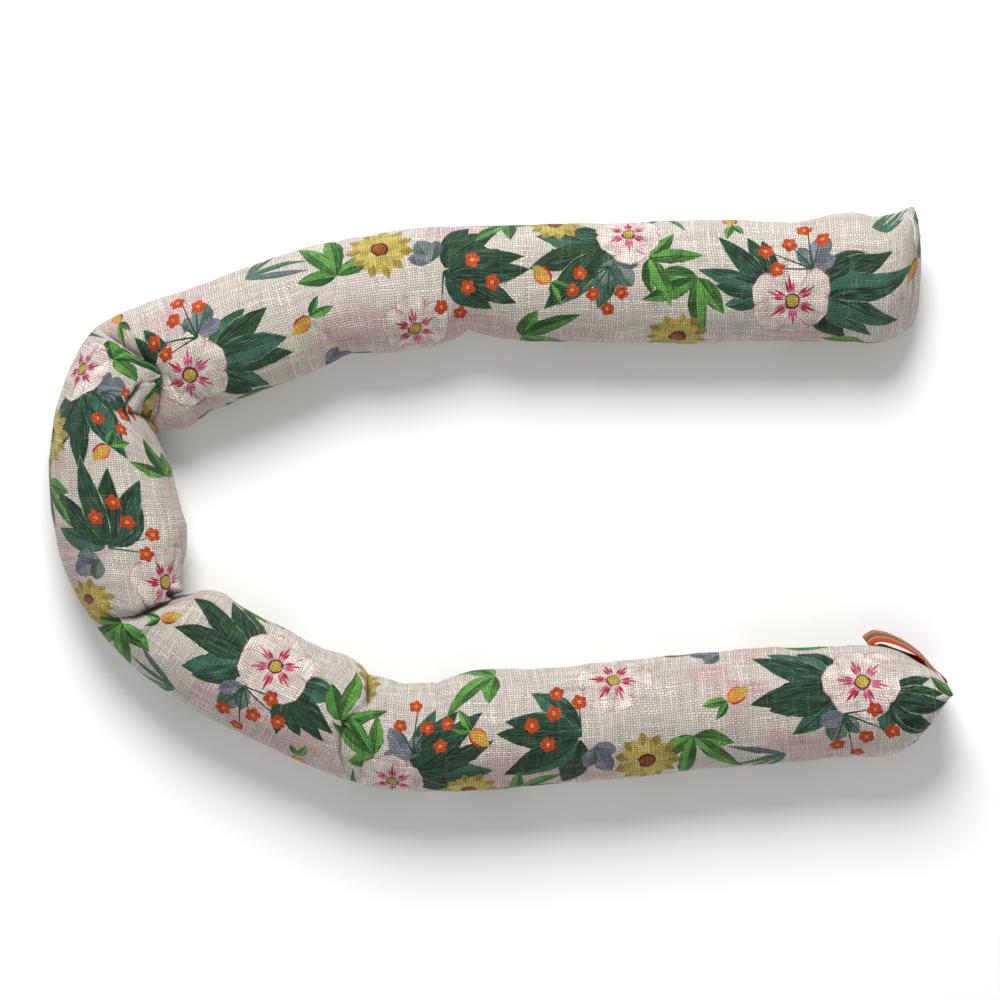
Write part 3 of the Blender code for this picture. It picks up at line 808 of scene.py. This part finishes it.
def crease_points(cloth, low, high):
    """Close points beside the fine creases and the knobs."""
    at = np.arange(INSET, cloth.length - INSET, FINEST)
    across = np.arange(low + INSET, high - INSET, FINEST)
    along, turn = (grid.ravel() for grid in np.meshgrid(at, across, indexing="ij"))
    plan = cloth.sample(cloth.points, along, turn / ROUND_RADIUS)
    above = np.sin(turn / ROUND_RADIUS) > FACING_UP
    near = np.zeros(len(along), bool)
    for _, left, right, line in CREASES:
        first, last = np.min(line, axis=0) - 4, np.max(line, axis=0) + 4
        there = np.flatnonzero(((plan[:, :2] > first) & (plan[:, :2] < last)).all(axis=1) & above)
        away, _ = from_line(plan[there, :2], line)
        near[there] |= (away < min(left, BESIDE)) & (away > -min(right, BESIDE) - BEHIND)
    for x, y, _, radius in KNOBS:
        near |= (((plan[:, :2] - (x, y)) ** 2).sum(axis=1) < (1.5 * radius) ** 2) & above
    return np.stack([along[near], turn[near]], 1)


def printed_plan(cloth, shapes):
    """The plan cut along every outline that shows: its points, its triangles and each one's shape."""
    points, (low, high) = plan_points(cloth)
    outlines = np.concatenate([s["points"] for s in shapes])
    along, turn = cloth.place(outlines[:, 0], outlines[:, 1])
    outlines = np.stack([
        np.clip(along, END_INSET, cloth.length - END_INSET),
        np.clip(turn * ROUND_RADIUS, low + INSET, high - INSET),
    ], 1)
    edges, first = [], 0
    for s in shapes:
        count = len(s["points"])
        s["loop"] = outlines[first : first + count]
        edges += [(first + i, first + (i + 1) % count) for i in range(count)]
        first += count
    corners = [(x, y) for x in (0.0, cloth.length) for y in (low, high)]
    plan, tris = cut(np.concatenate([outlines, corners]), edges)
    borders = changes(tris, topmost(plan[tris].mean(axis=1), shapes), len(plan))
    kept, edges = np.unique(borders, return_inverse=True)
    shown = plan[kept]
    points = points[apart(points, shown, (low, high), cloth.length)]
    plan, tris = cut(np.concatenate([shown, points]), edges.reshape(-1, 2))
    return plan, tris, topmost(plan[tris].mean(axis=1), shapes)


def cut(points, edges):
    """Triangles over the points that keep the edges."""
    corners = [Vector(p) for p in points]
    edges = [tuple(map(int, edge)) for edge in edges]
    found, _, tris, *_ = geometry.delaunay_2d_cdt(corners, edges, [], 0, 1e-5, False)
    return np.array([v[:] for v in found]), np.array(tris)


def changes(tris, shown, count):
    """The edges on whose two sides different shapes show."""
    edges = np.sort(np.concatenate([tris[:, [0, 1]], tris[:, [1, 2]], tris[:, [2, 0]]]), axis=1)
    key = edges[:, 0].astype(np.int64) * count + edges[:, 1]
    order = np.argsort(key, kind="stable")
    key, side, edges = key[order], np.tile(shown, 3)[order], edges[order]
    differ = (key[1:] == key[:-1]) & (side[1:] != side[:-1])
    return edges[:-1][differ]


def apart(points, shown, turns, length):
    """Which of the mesh's own points to keep: those on its border and those clear of the outlines."""
    cells = set(map(tuple, np.floor(shown / CLEAR).astype(int)))
    own = np.floor(points / CLEAR).astype(int)
    clear = np.array([(a, b) not in cells for a, b in own.tolist()])
    along, across = points.T
    return clear | (along <= 0) | (along >= length) | (across <= turns[0]) | (across >= turns[1])


def topmost(centres, shapes):
    """For each triangle's centre, the last shape laid over it, or -1 where the ground shows."""
    order = np.argsort(centres[:, 0])
    along = centres[order, 0]
    shown = np.full(len(centres), -1)
    for k, s in enumerate(shapes):
        loop = s["loop"]
        low, high = loop.min(0), loop.max(0)
        near = order[np.searchsorted(along, low[0]) : np.searchsorted(along, high[0])]
        near = near[(centres[near, 1] > low[1]) & (centres[near, 1] < high[1])]
        x, y = centres[near, 0], centres[near, 1]
        inside = np.zeros(len(near), bool)
        for (ax, ay), (bx, by) in zip(loop, np.roll(loop, -1, axis=0)):
            if ay != by:
                crosses = (ay > y) != (by > y)
                inside ^= crosses & (x < ax + (y - ay) * (bx - ax) / (by - ay))
        shown[near[inside]] = k
    return shown


def linear(colour):
    c = np.asarray(colour, float) / 255
    return np.where(c <= 0.04045, c / 12.92, ((c + 0.055) / 1.055) ** 2.4)


# each kind of stroke and how much of its second colour its streaks show
KINDS = {"flat": 0.0, "leaf": 0.95, "blade": 0.55, "petal": 0.35, "berry": 0.25}
ACCENT = (86, 124, 104)  # half of the second colour of a dark leaf's streaks
LEAST_BEND = 1e-7


def paint(u, v, shown, shapes):
    """Each corner's ink and its cover, its second colour and its share, and its place on its stroke."""
    kinds = list(KINDS)
    ink, second = np.zeros((len(u), 4)), np.zeros((len(u), 4))
    strokes = np.zeros((len(u), 2))
    rows = np.array([
        (
            *s["frame"], s["length"], s["half"], kinds.index(s["kind"]),
            *linear(s["ink"]), *linear(s["streak"]), s["cover"], i,
        )
        for i, s in enumerate(shapes)
    ])
    drawn = shown >= 0
    left, low, angle, bend, length, half, kind, *colours, cover, number = rows[shown[drawn]].T
    first, other = np.stack(colours[:3], 1), np.stack(colours[3:], 1)
    du, dv = u[drawn] - left, v[drawn] - low
    c, s = np.cos(angle), np.sin(angle)
    px, py = du * c + dv * s, dv * c - du * s
    bend = np.where(np.abs(bend) < LEAST_BEND, LEAST_BEND, bend)
    sign = np.sign(bend)
    along = np.arctan2(px * sign, (1 / bend - py) * sign) / bend
    across = 1 / bend - sign * np.hypot(px, 1 / bend - py)
    x, y = along / length, across / half

    # how far each corner's ink is mixed with its second colour
    blade = 0.04 + 0.34 * np.clip(x, 0, 1) ** 2 + 0.12 * (y > 0)
    rim = np.clip((np.abs(y) - 0.55) / 0.4, 0, 1) ** 1.5
    heart = np.clip(1 - x / 0.45, 0, 1) ** 1.3
    petal = np.clip(0.9 * rim + 0.8 * heart, 0, 1)
    berry = np.clip(0.5 * (x - 0.3), 0, 0.5)
    mix = np.choose(kind.astype(int), (0 * x, blade, blade, petal, berry))[:, None]
    accent = np.where((kind == kinds.index("leaf"))[:, None], 0.5 * other + 0.5 * linear(ACCENT), other)
    ink[drawn] = np.column_stack([first * (1 - mix) + other * mix, cover])
    second[drawn] = np.column_stack([accent, np.array(list(KINDS.values()))[kind.astype(int)]])
    strokes[drawn] = np.stack([along + 37.0 * number, across + 11.0 * number], 1)
    return ink, second, strokes


def weld_sides(plan, low, high):
    """For each point, the point that stands for it: its twin on the near side for those on the far side."""
    stands = np.arange(len(plan))
    near, far = (np.flatnonzero(np.abs(plan[:, 1] - side) < TOUCH) for side in (low, high))
    stands[far[np.argsort(plan[far, 0])]] = near[np.argsort(plan[near, 0])]
    return stands


def end_cap(plan, stands, xyz, at, seam):
    """The faces that close a sewn end: a strip between the two layers of its flat ring."""
    ring = np.flatnonzero(np.abs(plan[:, 0] - at) < TOUCH)
    ring = ring[np.argsort(plan[ring, 1])]
    ring = [int(stands[i]) for i in ring[:-1]]
    first = int(np.argmax([xyz[i] @ seam for i in ring]))
    faces = []
    for j in range(first, first + len(ring) // 2):
        back = 2 * first - j
        loop = (ring[k % len(ring)] for k in (j, j + 1, back - 1, back))
        loop = tuple(dict.fromkeys(loop))
        if len(loop) > 2:
            faces.append(loop)
    return faces


def build_cloth(cloth, shapes):
    """The casing's cloth as one closed mesh with the print's inks on its corners."""
    plan, tris, shown = printed_plan(cloth, shapes)
    turn = plan[:, 1] / ROUND_RADIUS
    xyz, painted_shade = cloth.worked(plan[:, 0], turn)
    uv = np.stack([cloth.distance(plan[:, 0], turn), cloth.sample(cloth.v, plan[:, 0], turn)], 1)
    stands = weld_sides(plan, cloth.turn[0] * ROUND_RADIUS, cloth.turn[-1] * ROUND_RADIUS)
    corners = tris.ravel()
    ink, second, strokes = paint(uv[corners, 0], uv[corners, 1], np.repeat(shown, 3), shapes)
    faces = [tuple(int(i) for i in stands[t]) for t in tris]
    good = np.array([len(set(f)) == 3 for f in faces])
    caps = []
    for at, (_, corner, other, _, _) in zip((0.0, cloth.length), ENDS):
        caps += end_cap(plan, stands, xyz, at, np.subtract(corner, other))
    mesh = bpy.data.meshes.new("casing_cloth")
    faces = [face for face, sound in zip(faces, good) if sound]
    mesh.from_pydata([tuple(p) for p in (xyz - MIDDLE) * MM], [], faces + caps)
    loops = np.array([i for f in caps for i in f], int)
    kept = np.repeat(good, 3)

    def fill(layer, what, values, caps_values):
        layer.data.foreach_set(what, np.concatenate([values[kept], caps_values]).astype(np.float32).ravel())

    fill(mesh.uv_layers.new(name="cloth"), "uv", uv[corners], uv[loops])
    fill(mesh.uv_layers.new(name="strokes"), "uv", strokes, np.zeros((len(loops), 2)))
    # the painted shade of the creases and the hole, kept on the corners as a colour
    painted_shade_rgba = np.repeat(painted_shade[corners][:, None], 4, axis=1)
    for name, values in (("ink", ink), ("second", second), ("painted_shade", painted_shade_rgba)):
        layer = mesh.color_attributes.new(name, "FLOAT_COLOR", "CORNER")
        fill(layer, "color", values, np.zeros((len(loops), 4)))
    mesh.validate(clean_customdata=False)
    return add_object("casing_cloth", mesh)


def add_object(name, mesh):
    """A smooth mesh as an object in the scene."""
    mesh.shade_smooth()
    obj = bpy.data.objects.new(name, mesh)
    bpy.context.scene.collection.objects.link(obj)
    return obj


# ---------------------------------------------------------------- materials


class Value:
    """A number or a colour inside a material, with the usual signs for sums."""

    def __init__(self, paint, socket):
        self.paint, self.socket = paint, socket

    def __add__(self, other):
        return self.paint.math("ADD", self, other)

    def __sub__(self, other):
        return self.paint.math("SUBTRACT", self, other)

    def __rsub__(self, other):
        return self.paint.math("SUBTRACT", other, self)

    def __mul__(self, other):
        return self.paint.math("MULTIPLY", self, other)

    def __truediv__(self, other):
        return self.paint.math("DIVIDE", self, other)

    def __pow__(self, other):
        return self.paint.math("POWER", self, other)

    def __abs__(self):
        return self.paint.math("ABSOLUTE", self)

    def line(self, factor, shift):
        """The value times a factor, plus a shift."""
        return self.paint.math("MULTIPLY_ADD", self, factor, shift)

    def other(self, output):
        """Another output of the node that gives this value."""
        return Value(self.paint, self.socket.node.outputs[output])


class Paint:
    """A material and short ways to add nodes to it."""

    def __init__(self, name, roughness, sheen=0.0, specular=0.3):
        self.material = bpy.data.materials.new(name)
        self.material.use_nodes = True
        self.tree = self.material.node_tree
        self.inputs = self.tree.nodes["Principled BSDF"].inputs
        self.put("Roughness", roughness)
        self.put("Specular IOR Level", specular)
        self.put("Sheen Weight", sheen)
        self.put("Sheen Roughness", 0.45)

    def put(self, name, value, inputs=None):
        """Set one of the shader's inputs, or of the inputs given, to a constant or link a value to it."""
        socket = (inputs or self.inputs)[name]
        if isinstance(value, Value):
            self.tree.links.new(value.socket, socket)
        else:
            socket.default_value = value

    def node(self, kind, inputs, output=0, **settings):
        """The value that a new node gives."""
        made = self.tree.nodes.new(kind)
        for key, value in settings.items():
            setattr(made, key, value)
        for key, value in inputs.items():
            self.put(key, value, made.inputs)
        return Value(self, made.outputs[output])

    def math(self, operation, *values):
        return self.node("ShaderNodeMath", dict(enumerate(values)), operation=operation)

    def mix(self, factor, one, two, blend="MIX"):
        inputs = {0: factor, 6: one, 7: two}
        return self.node("ShaderNodeMix", inputs, 2, data_type="RGBA", blend_type=blend)

    def choose(self, factor, one, two):
        return self.node("ShaderNodeMix", {0: factor, 2: one, 3: two})

    def toned(self, colour, tone):
        """A colour made lighter or darker by a number."""
        return self.mix(1.0, colour, self.vector(tone, tone, tone), "MULTIPLY")

    def ramp(self, value, low, high, to_low=0.0, to_high=1.0):
        inputs = {0: value, 1: low, 2: high, 3: to_low, 4: to_high}
        return self.node("ShaderNodeMapRange", inputs, interpolation_type="SMOOTHSTEP")

    def vector(self, x, y, z=0.0):
        return self.node("ShaderNodeCombineXYZ", {0: x, 1: y, 2: z})

    def noise(self, x, y, z=0.0, detail=2.0):
        """Soft noise over a plane, or over one slice of space."""
        inputs = {"Vector": self.vector(x, y, z), "Scale": 1.0, "Detail": detail}
        return self.node("ShaderNodeTexNoise", inputs)

    def uv(self, name):
        split = self.node("ShaderNodeSeparateXYZ", {0: self.node("ShaderNodeUVMap", {}, uv_map=name)})
        return split, split.other(1)

    def layer(self, name):
        return self.node("ShaderNodeVertexColor", {}, layer_name=name)

    def bump(self, height, strength, distance):
        inputs = {"Strength": strength, "Distance": distance, "Height": height}
        self.put("Normal", self.node("ShaderNodeBump", inputs))


def rgba(colour):
    return (*linear(colour), 1.0)


PITCH = 1.25  # from one thread of the linen to the next
LINEN = (207, 199, 189)
WASH = (206, 168, 170)  # the pink that is washed over some of the linen
GAP_SHADE = (62, 48, 40)  # painted shade: the dark that shows between the threads
SLOW, SLOW_REACH = 0.035, 6.0  # the threads' long wander: waves a millimetre, and how far it takes them
QUICK, QUICK_REACH = 0.30, 0.9  # and their short wander
THREAD_ROUND = 0.7  # how flat a thread's top is across it, as a power
UNEVEN = 0.045  # how quickly a thread's tone changes along it
APART = 3.7  # between one thread's tones and the next one's in the noise
SLUB = (0.57, 0.66)  # the tones from which a thread is thick


def weave(p, u, v):
    """Plain weave: height, pinholes, threads' tones, crossings' chances and sides, and thick threads."""
    wander = p.noise(u * SLOW, v * SLOW, detail=3.0)
    fine = p.noise(u * QUICK, v * QUICK)
    shift = wander * SLOW_REACH + fine * QUICK_REACH
    a, b = (u + shift) / PITCH, (v - shift) / PITCH
    sine_a, sine_b = p.math("SINE", a * math.pi), p.math("SINE", b * math.pi)
    over = p.math("GREATER_THAN", sine_a * sine_b, 0.0)
    wide_a, wide_b = abs(sine_a), abs(sine_b)
    run_u = wide_b**THREAD_ROUND * wide_a.line(0.6, 0.4)
    run_v = wide_a**THREAD_ROUND * wide_b.line(0.6, 0.4)
    height = p.choose(over, run_v, run_u)
    hole = (1.0 - wide_a) * (1.0 - wide_b)
    row, column = p.math("FLOOR", b), p.math("FLOOR", a)
    tone_u = p.noise(u * UNEVEN, row * APART)
    tone_v = p.noise(column * APART, v * UNEVEN, 5.0)
    tone = p.choose(over, tone_v, tone_u)
    thick_u, thick_v = (p.ramp(t, *SLUB) * wide**1.2 for t, wide in ((tone_u, wide_b), (tone_v, wide_a)))
    slub = p.math("MAXIMUM", thick_u, thick_v)
    chance = p.node("ShaderNodeTexWhiteNoise", {"Vector": p.vector(column, row)}, noise_dimensions="3D")
    return height, hole, tone, chance, over, slub


def linen():
    """The printed linen: the mesh's inks over the linen's own colour, shaded thread by thread with painted
    shade on the threads' sides and in the pinholes, and darkened with painted shade deep in the creases.
    """
    p = Paint("printed_linen", 0.86, sheen=0.12, specular=0.22)
    u, v = p.uv("cloth")
    height, hole, tone, chance, over, slub = weave(p, u, v)
    # painted shade in the pinholes between the threads, less where a thick thread covers them
    pinhole_shade = p.ramp(hole, 0.12, 0.58) * chance.line(0.85, 0.28)
    pinhole_shade = p.math("MINIMUM", pinhole_shade, 1.0) * slub.line(-0.8, 1.0)
    light = tone.line(1.25, 0.30) * chance.line(0.12, 0.94)
    # painted shade on each thread: darker towards its sides, where it is lower; the thread that lies on top
    # is also a little lighter
    shade = light * height.line(0.34, 0.735) * over.line(0.10, 0.95)

    wash = p.noise(u * 0.016, v * 0.021, 3.0, detail=3.0)
    ground = p.mix(p.ramp(wash, 0.54, 0.61, 0.0, 0.58), rgba(LINEN), rgba(WASH))
    ink, second = p.layer("ink"), p.layer("second")
    cover, share = ink.other("Alpha"), second.other("Alpha")
    x, y = p.uv("strokes")
    streak = p.noise(x * 0.10, y * 1.1, detail=3.0)
    blot = p.noise(u * 0.14, v * 0.14, 9.0, detail=4.0)
    drawn = p.toned(p.mix(share * p.ramp(streak, 0.38, 0.74), ink, second), blot.line(1.3, 0.38))

    shade = shade + slub * (1.0 - cover).line(0.08, 0.02)
    colour = p.toned(p.mix(cover * slub.line(-0.05, 1.0), ground, drawn), shade)
    # the pinholes' painted shade: mostly the dark gap colour, a little tinted by the cloth around it
    shaded_gap = p.mix(0.6, p.mix(1.0, colour, rgba(GAP_SHADE), "MULTIPLY"), rgba(GAP_SHADE))
    # painted shade: the linen darker the deeper it lies in a crease or in the knob's hole
    depth = p.node("ShaderNodeSeparateColor", {0: p.layer("painted_shade")})
    colour = p.toned(p.mix(pinhole_shade, colour, shaded_gap), p.ramp(depth, 0.6, 4.2, 1.0, 0.24))
    p.put("Base Color", colour)
    p.bump(height + slub * 0.5, 0.5, 0.0005)
    return p.material


RIBBON_WIDTH = 10.0
RIBBON_THICK = 0.55
RIBBON_ORANGE = (192, 72, 8)
STRIPE = (112, 88, 68)
DASH = (214, 196, 180)
STRIPE_HALF = 1.7
RIB_PITCH = 0.85


def grosgrain():
    """Ribbed orange ribbon, with painted shade between its ribs: a stripe along its middle, with a row of
    pale dashes on each side of it.
    """
    p = Paint("orange_ribbon", 0.62, sheen=0.06, specular=0.25)
    u, v = p.uv("ribbon")
    rib = abs(p.math("SINE", u * (math.pi / RIB_PITCH)))
    stripe = p.ramp(abs(v), STRIPE_HALF - 0.25, STRIPE_HALF + 0.15, 1.0, 0.0)
    mottle = p.noise(u * 0.5, v * 2.5, detail=3.0)
    colour = p.mix(stripe, rgba(RIBBON_ORANGE), rgba(STRIPE))
    # painted shade between the ribs, lighter on their crests, with a random mottle over it
    colour = p.toned(colour, rib.line(0.62, 0.5) * mottle.line(0.3, 0.85))
    beside = abs(abs(v) - (STRIPE_HALF + 0.35))
    dash = p.ramp(beside, 0.22, 0.34, 1.0, 0.0) * p.ramp(rib, 0.45, 0.75)
    p.put("Base Color", p.mix(dash * 0.75, colour, rgba(DASH)))
    p.bump(rib, 0.8, 0.0002)
    return p.material


def plain(name, colour, roughness):
    p = Paint(name, roughness)
    p.put("Base Color", rgba(colour))
    return p.material


# ---------------------------------------------------------------- the ribbon loop

# x, y and level of the ribbon's middle line, and how far from it, as seen from above, its upper edge lies
RIBBON_ROUTE = (
    (222.45, -91.3, 18.0, 0.6, -0.75),
    (222.8, -90.2, 18.0, 0.55, -0.7),
    (221.5, -88.1, 18.0, 0.35, -0.5),
    (219.4, -86.4, 18.2, 0.1, -0.2),
    (216.2, -83.4, 18.6, -0.3, -0.4),
    (210.7, -77.6, 19.6, -0.5, -0.9),
    (204.2, -72.8, 20.6, -0.5, -1.4),
    (197.5, -69.4, 21.4, -0.4, -1.9),
    (191.2, -67.5, 21.8, 0.0, -2.5),
    (187.2, -67.4, 21.6, 0.7, -3.0),
    (184.2, -69.2, 20.4, 1.6, -2.7),
    (183.0, -70.2, 19.2, 1.7, -2.4),
    (183.8, -70.8, 17.8, 1.2, -1.8),
    (187.0, -72.2, 15.0, 0.4, -0.6),
    (191.0, -73.9, 11.6, 0.1, 1.2),
    (196.8, -76.6, 10.6, 0.5, 1.7),
    (202.6, -78.8, 11.0, 0.7, 1.8),
    (208.4, -80.7, 13.2, 0.8, 1.5),
    (214.0, -83.9, 15.8, 0.2, 0.3),
    (218.6, -86.8, 17.4, 0.0, -0.1),
    (222.3, -91.0, 18.0, 0.6, -0.75),
)

RIBBON_STEP = 0.6
RIBBON_ACROSS = 12
CUP = 0.75  # how much less than its middle the ribbon's lower edge leans, and its upper edge more


def build_ribbon():
    """The ribbon as a folded strip on edge, and its length."""
    rows = np.array(RIBBON_ROUTE, float)
    steps = np.linalg.norm(np.diff(rows[:, :3], axis=0), axis=1)
    knots = np.concatenate([[0.0], np.cumsum(steps)])
    at = np.linspace(0.0, knots[-1], round(knots[-1] / RIBBON_STEP) + 1)
    line = hermite(knots, rows, at)
    across = np.linspace(-1, 1, RIBBON_ACROSS + 1)
    between = (across[1:] + across[:-1]) / 2
    sideways = np.linalg.norm(line[:, 3:5], axis=1, keepdims=True)
    way = np.pad(line[:, 3:5] / np.maximum(sideways, MM), ((0, 0), (0, 1)))
    lean = np.arcsin(sideways * 2 / RIBBON_WIDTH) * (1 + CUP * between)
    legs = way[:, None] * np.sin(lean)[..., None] + np.cos(lean)[..., None] * np.array([0.0, 0.0, 1.0])
    grid = np.concatenate([np.zeros_like(legs[:, :1]), np.cumsum(legs, axis=1)], axis=1)
    grid *= RIBBON_WIDTH / RIBBON_ACROSS
    grid += line[:, None, :3] - grid[:, RIBBON_ACROSS // 2, None]
    run = np.concatenate([[0.0], np.cumsum(np.linalg.norm(np.diff(line[:, :3], axis=0), axis=1))])
    n, m = len(at), len(across)
    firsts = [i * m + j for i in range(n - 1) for j in range(m - 1)]
    faces = [(k, k + m, k + m + 1, k + 1) for k in firsts]
    mesh = bpy.data.meshes.new("ribbon")
    mesh.from_pydata([tuple(q) for q in (grid.reshape(-1, 3) - MIDDLE) * MM], [], faces)
    layer = mesh.uv_layers.new(name="ribbon")
    loops = np.array([i for f in faces for i in f])
    uv = np.stack([run[loops // m], across[loops % m] * RIBBON_WIDTH / 2], 1)
    layer.data.foreach_set("uv", uv.astype(np.float32).ravel())
    obj = add_object("ribbon", mesh)
    thick = obj.modifiers.new("thickness", "SOLIDIFY")
    thick.thickness = RIBBON_THICK * MM
    thick.offset = 0.0
    return obj, float(run[-1])


# ---------------------------------------------------------------- hand stitches and thread tails

THREAD = 0.28  # radius
THREAD_STEP = 0.7
RAISED = 0.7  # how far above the cloth a thread's middle lies, as a share of its radius
STITCHES = 4
FIRST_STITCH, STITCH_STEP = 0.03, 0.07  # from the seam's first corner, as shares of its length
STITCH_RISE = 1.5
# tails of thread at the upper arm's ear, as seen from above
TAILS = (
    ((203.6, 146.2), (202.0, 143.0), (200.2, 140.6), (198.8, 139.2)),
    ((200.0, 144.4), (203.4, 141.6), (205.6, 137.4), (206.4, 133.0), (207.2, 129.4)),
    ((202.6, 145.4), (204.8, 141.8), (205.4, 138.2), (206.8, 134.4), (206.2, 130.6), (207.0, 127.0)),
)


def tube(line, radius, sides=5):
    """A thin round thread through points in millimetres."""
    line = np.array(line, float)
    run = np.concatenate([[0.0], np.cumsum(np.linalg.norm(np.diff(line, axis=0), axis=1))])
    at = np.linspace(0.0, run[-1], max(3, int(run[-1] / THREAD_STEP)))
    line = hermite(run, line, at)
    travel = unit(np.gradient(line, at, axis=0))
    side = unit(np.cross(travel, (0.31, 0.53, 0.79)))
    rise = np.cross(travel, side)
    angles = np.arange(sides) * 2 * math.pi / sides
    around = side[:, None] * np.cos(angles)[:, None] + rise[:, None] * np.sin(angles)[:, None]
    rings = line[:, None] + radius * around
    count = len(line)
    faces = []
    for i in range(count - 1):
        for j in range(sides):
            k = (j + 1) % sides
            faces.append((i * sides + j, i * sides + k, (i + 1) * sides + k, (i + 1) * sides + j))
    faces.append(tuple(range(sides))[::-1])
    faces.append(tuple((count - 1) * sides + j for j in range(sides)))
    return rings.reshape(-1, 3), faces


def build_threads(cloth_mesh):
    """The stitches across the seam's first stretch and the tails, all laid on the cloth."""
    corners, faces = [v.co[:] for v in cloth_mesh.vertices], [p.vertices[:] for p in cloth_mesh.polygons]
    tree = BVHTree.FromPolygons(corners, faces)

    def landed(start, way):
        origin = (np.array(start, float) - MIDDLE) * MM
        hit = tree.ray_cast(Vector(origin), Vector(way))[0]
        return np.array(hit) / MM + MIDDLE - np.array(way) * THREAD * RAISED if hit else None

    lines = [[landed((x, y, 80.0), (0, 0, -1)) for x, y in tail] for tail in TAILS]
    corner, other = (np.array(c) for c in ENDS[0][1:3])
    for i in range(STITCHES):
        middle = corner + (other - corner) * (FIRST_STITCH + STITCH_STEP * i)
        slant = 0.5 if i % 2 else -0.2
        ends = [middle + (0.0, slant * s, s * STITCH_RISE) for s in (-1, 0, 1)]
        lines.append([landed((240.0, y, z), (-1, 0, 0)) for _, y, z in ends])
    points, faces = [], []
    for line in lines:
        ring, made = tube([q for q in line if q is not None], THREAD)
        faces += [tuple(i + len(points) for i in f) for f in made]
        points += [tuple(q) for q in (ring - MIDDLE) * MM]
    mesh = bpy.data.meshes.new("threads")
    mesh.from_pydata(points, [], faces)
    return add_object("closing_thread", mesh)


# ---------------------------------------------------------------- the studio


def add_floor():
    mesh = bpy.data.meshes.new("floor")
    mesh.from_pydata([(-3, -3, 0), (3, -3, 0), (3, 3, 0), (-3, 3, 0)], [], [(0, 1, 2, 3)])
    floor = bpy.data.objects.new("floor", mesh)
    bpy.context.scene.collection.objects.link(floor)
    mesh.materials.append(plain("floor", (250, 250, 250), 0.9))


def add_light(name, place, size, power):
    """A round lamp that looks at the middle of the object."""
    lamp = bpy.data.lights.new(name, "AREA")
    lamp.shape = "DISK"
    lamp.size = size
    lamp.energy = power
    obj = bpy.data.objects.new(name, lamp)
    obj.location = place
    obj.rotation_euler = (-Vector(place)).to_track_quat("-Z", "Y").to_euler()
    bpy.context.scene.collection.objects.link(obj)


SENSOR = 36.0
CAMERA_HEIGHT = 3.0
PICTURE_WIDTH = 0.5  # what the picture spans at the tube's widest level


def add_camera():
    data = bpy.data.cameras.new("camera")
    data.sensor_width = SENSOR
    data.lens = SENSOR * (CAMERA_HEIGHT - LEVEL * MM) / PICTURE_WIDTH
    camera = bpy.data.objects.new("camera", data)
    camera.location = (-MIDDLE[0] * MM, -MIDDLE[1] * MM, CAMERA_HEIGHT)
    bpy.context.scene.collection.objects.link(camera)
    bpy.context.scene.camera = camera


def add_studio():
    add_floor()
    add_light("key", (-0.2, 1.6, 1.6), 1.2, 56.0)
    add_light("fill", (0.2, -1.5, 1.7), 1.8, 10.0)
    world = bpy.data.worlds.new("studio")
    bpy.context.scene.world = world
    world.use_nodes = True
    background = world.node_tree.nodes["Background"]
    background.inputs["Color"].default_value = (1.0, 1.0, 1.0, 1.0)
    background.inputs["Strength"].default_value = 0.33
    bpy.context.scene.view_settings.view_transform = "Standard"
    add_camera()


# ---------------------------------------------------------------- the scene

cloth = Skin()
girth = float(np.ptp(cloth.v[len(cloth.v) // 2]))
casing = build_cloth(cloth, design(cloth.start, cloth.stop, girth))
casing.data.materials.append(linen())
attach(casing, "root")
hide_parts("casing")

ribbon, ribbon_length = build_ribbon()
ribbon.data.materials.append(grosgrain())
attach(ribbon, "root")
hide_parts("ribbon_loop")

threads = build_threads(casing.data)
threads.data.materials.append(plain("white_thread", (226, 224, 218), 0.7))
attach(threads, "root")

add_studio()
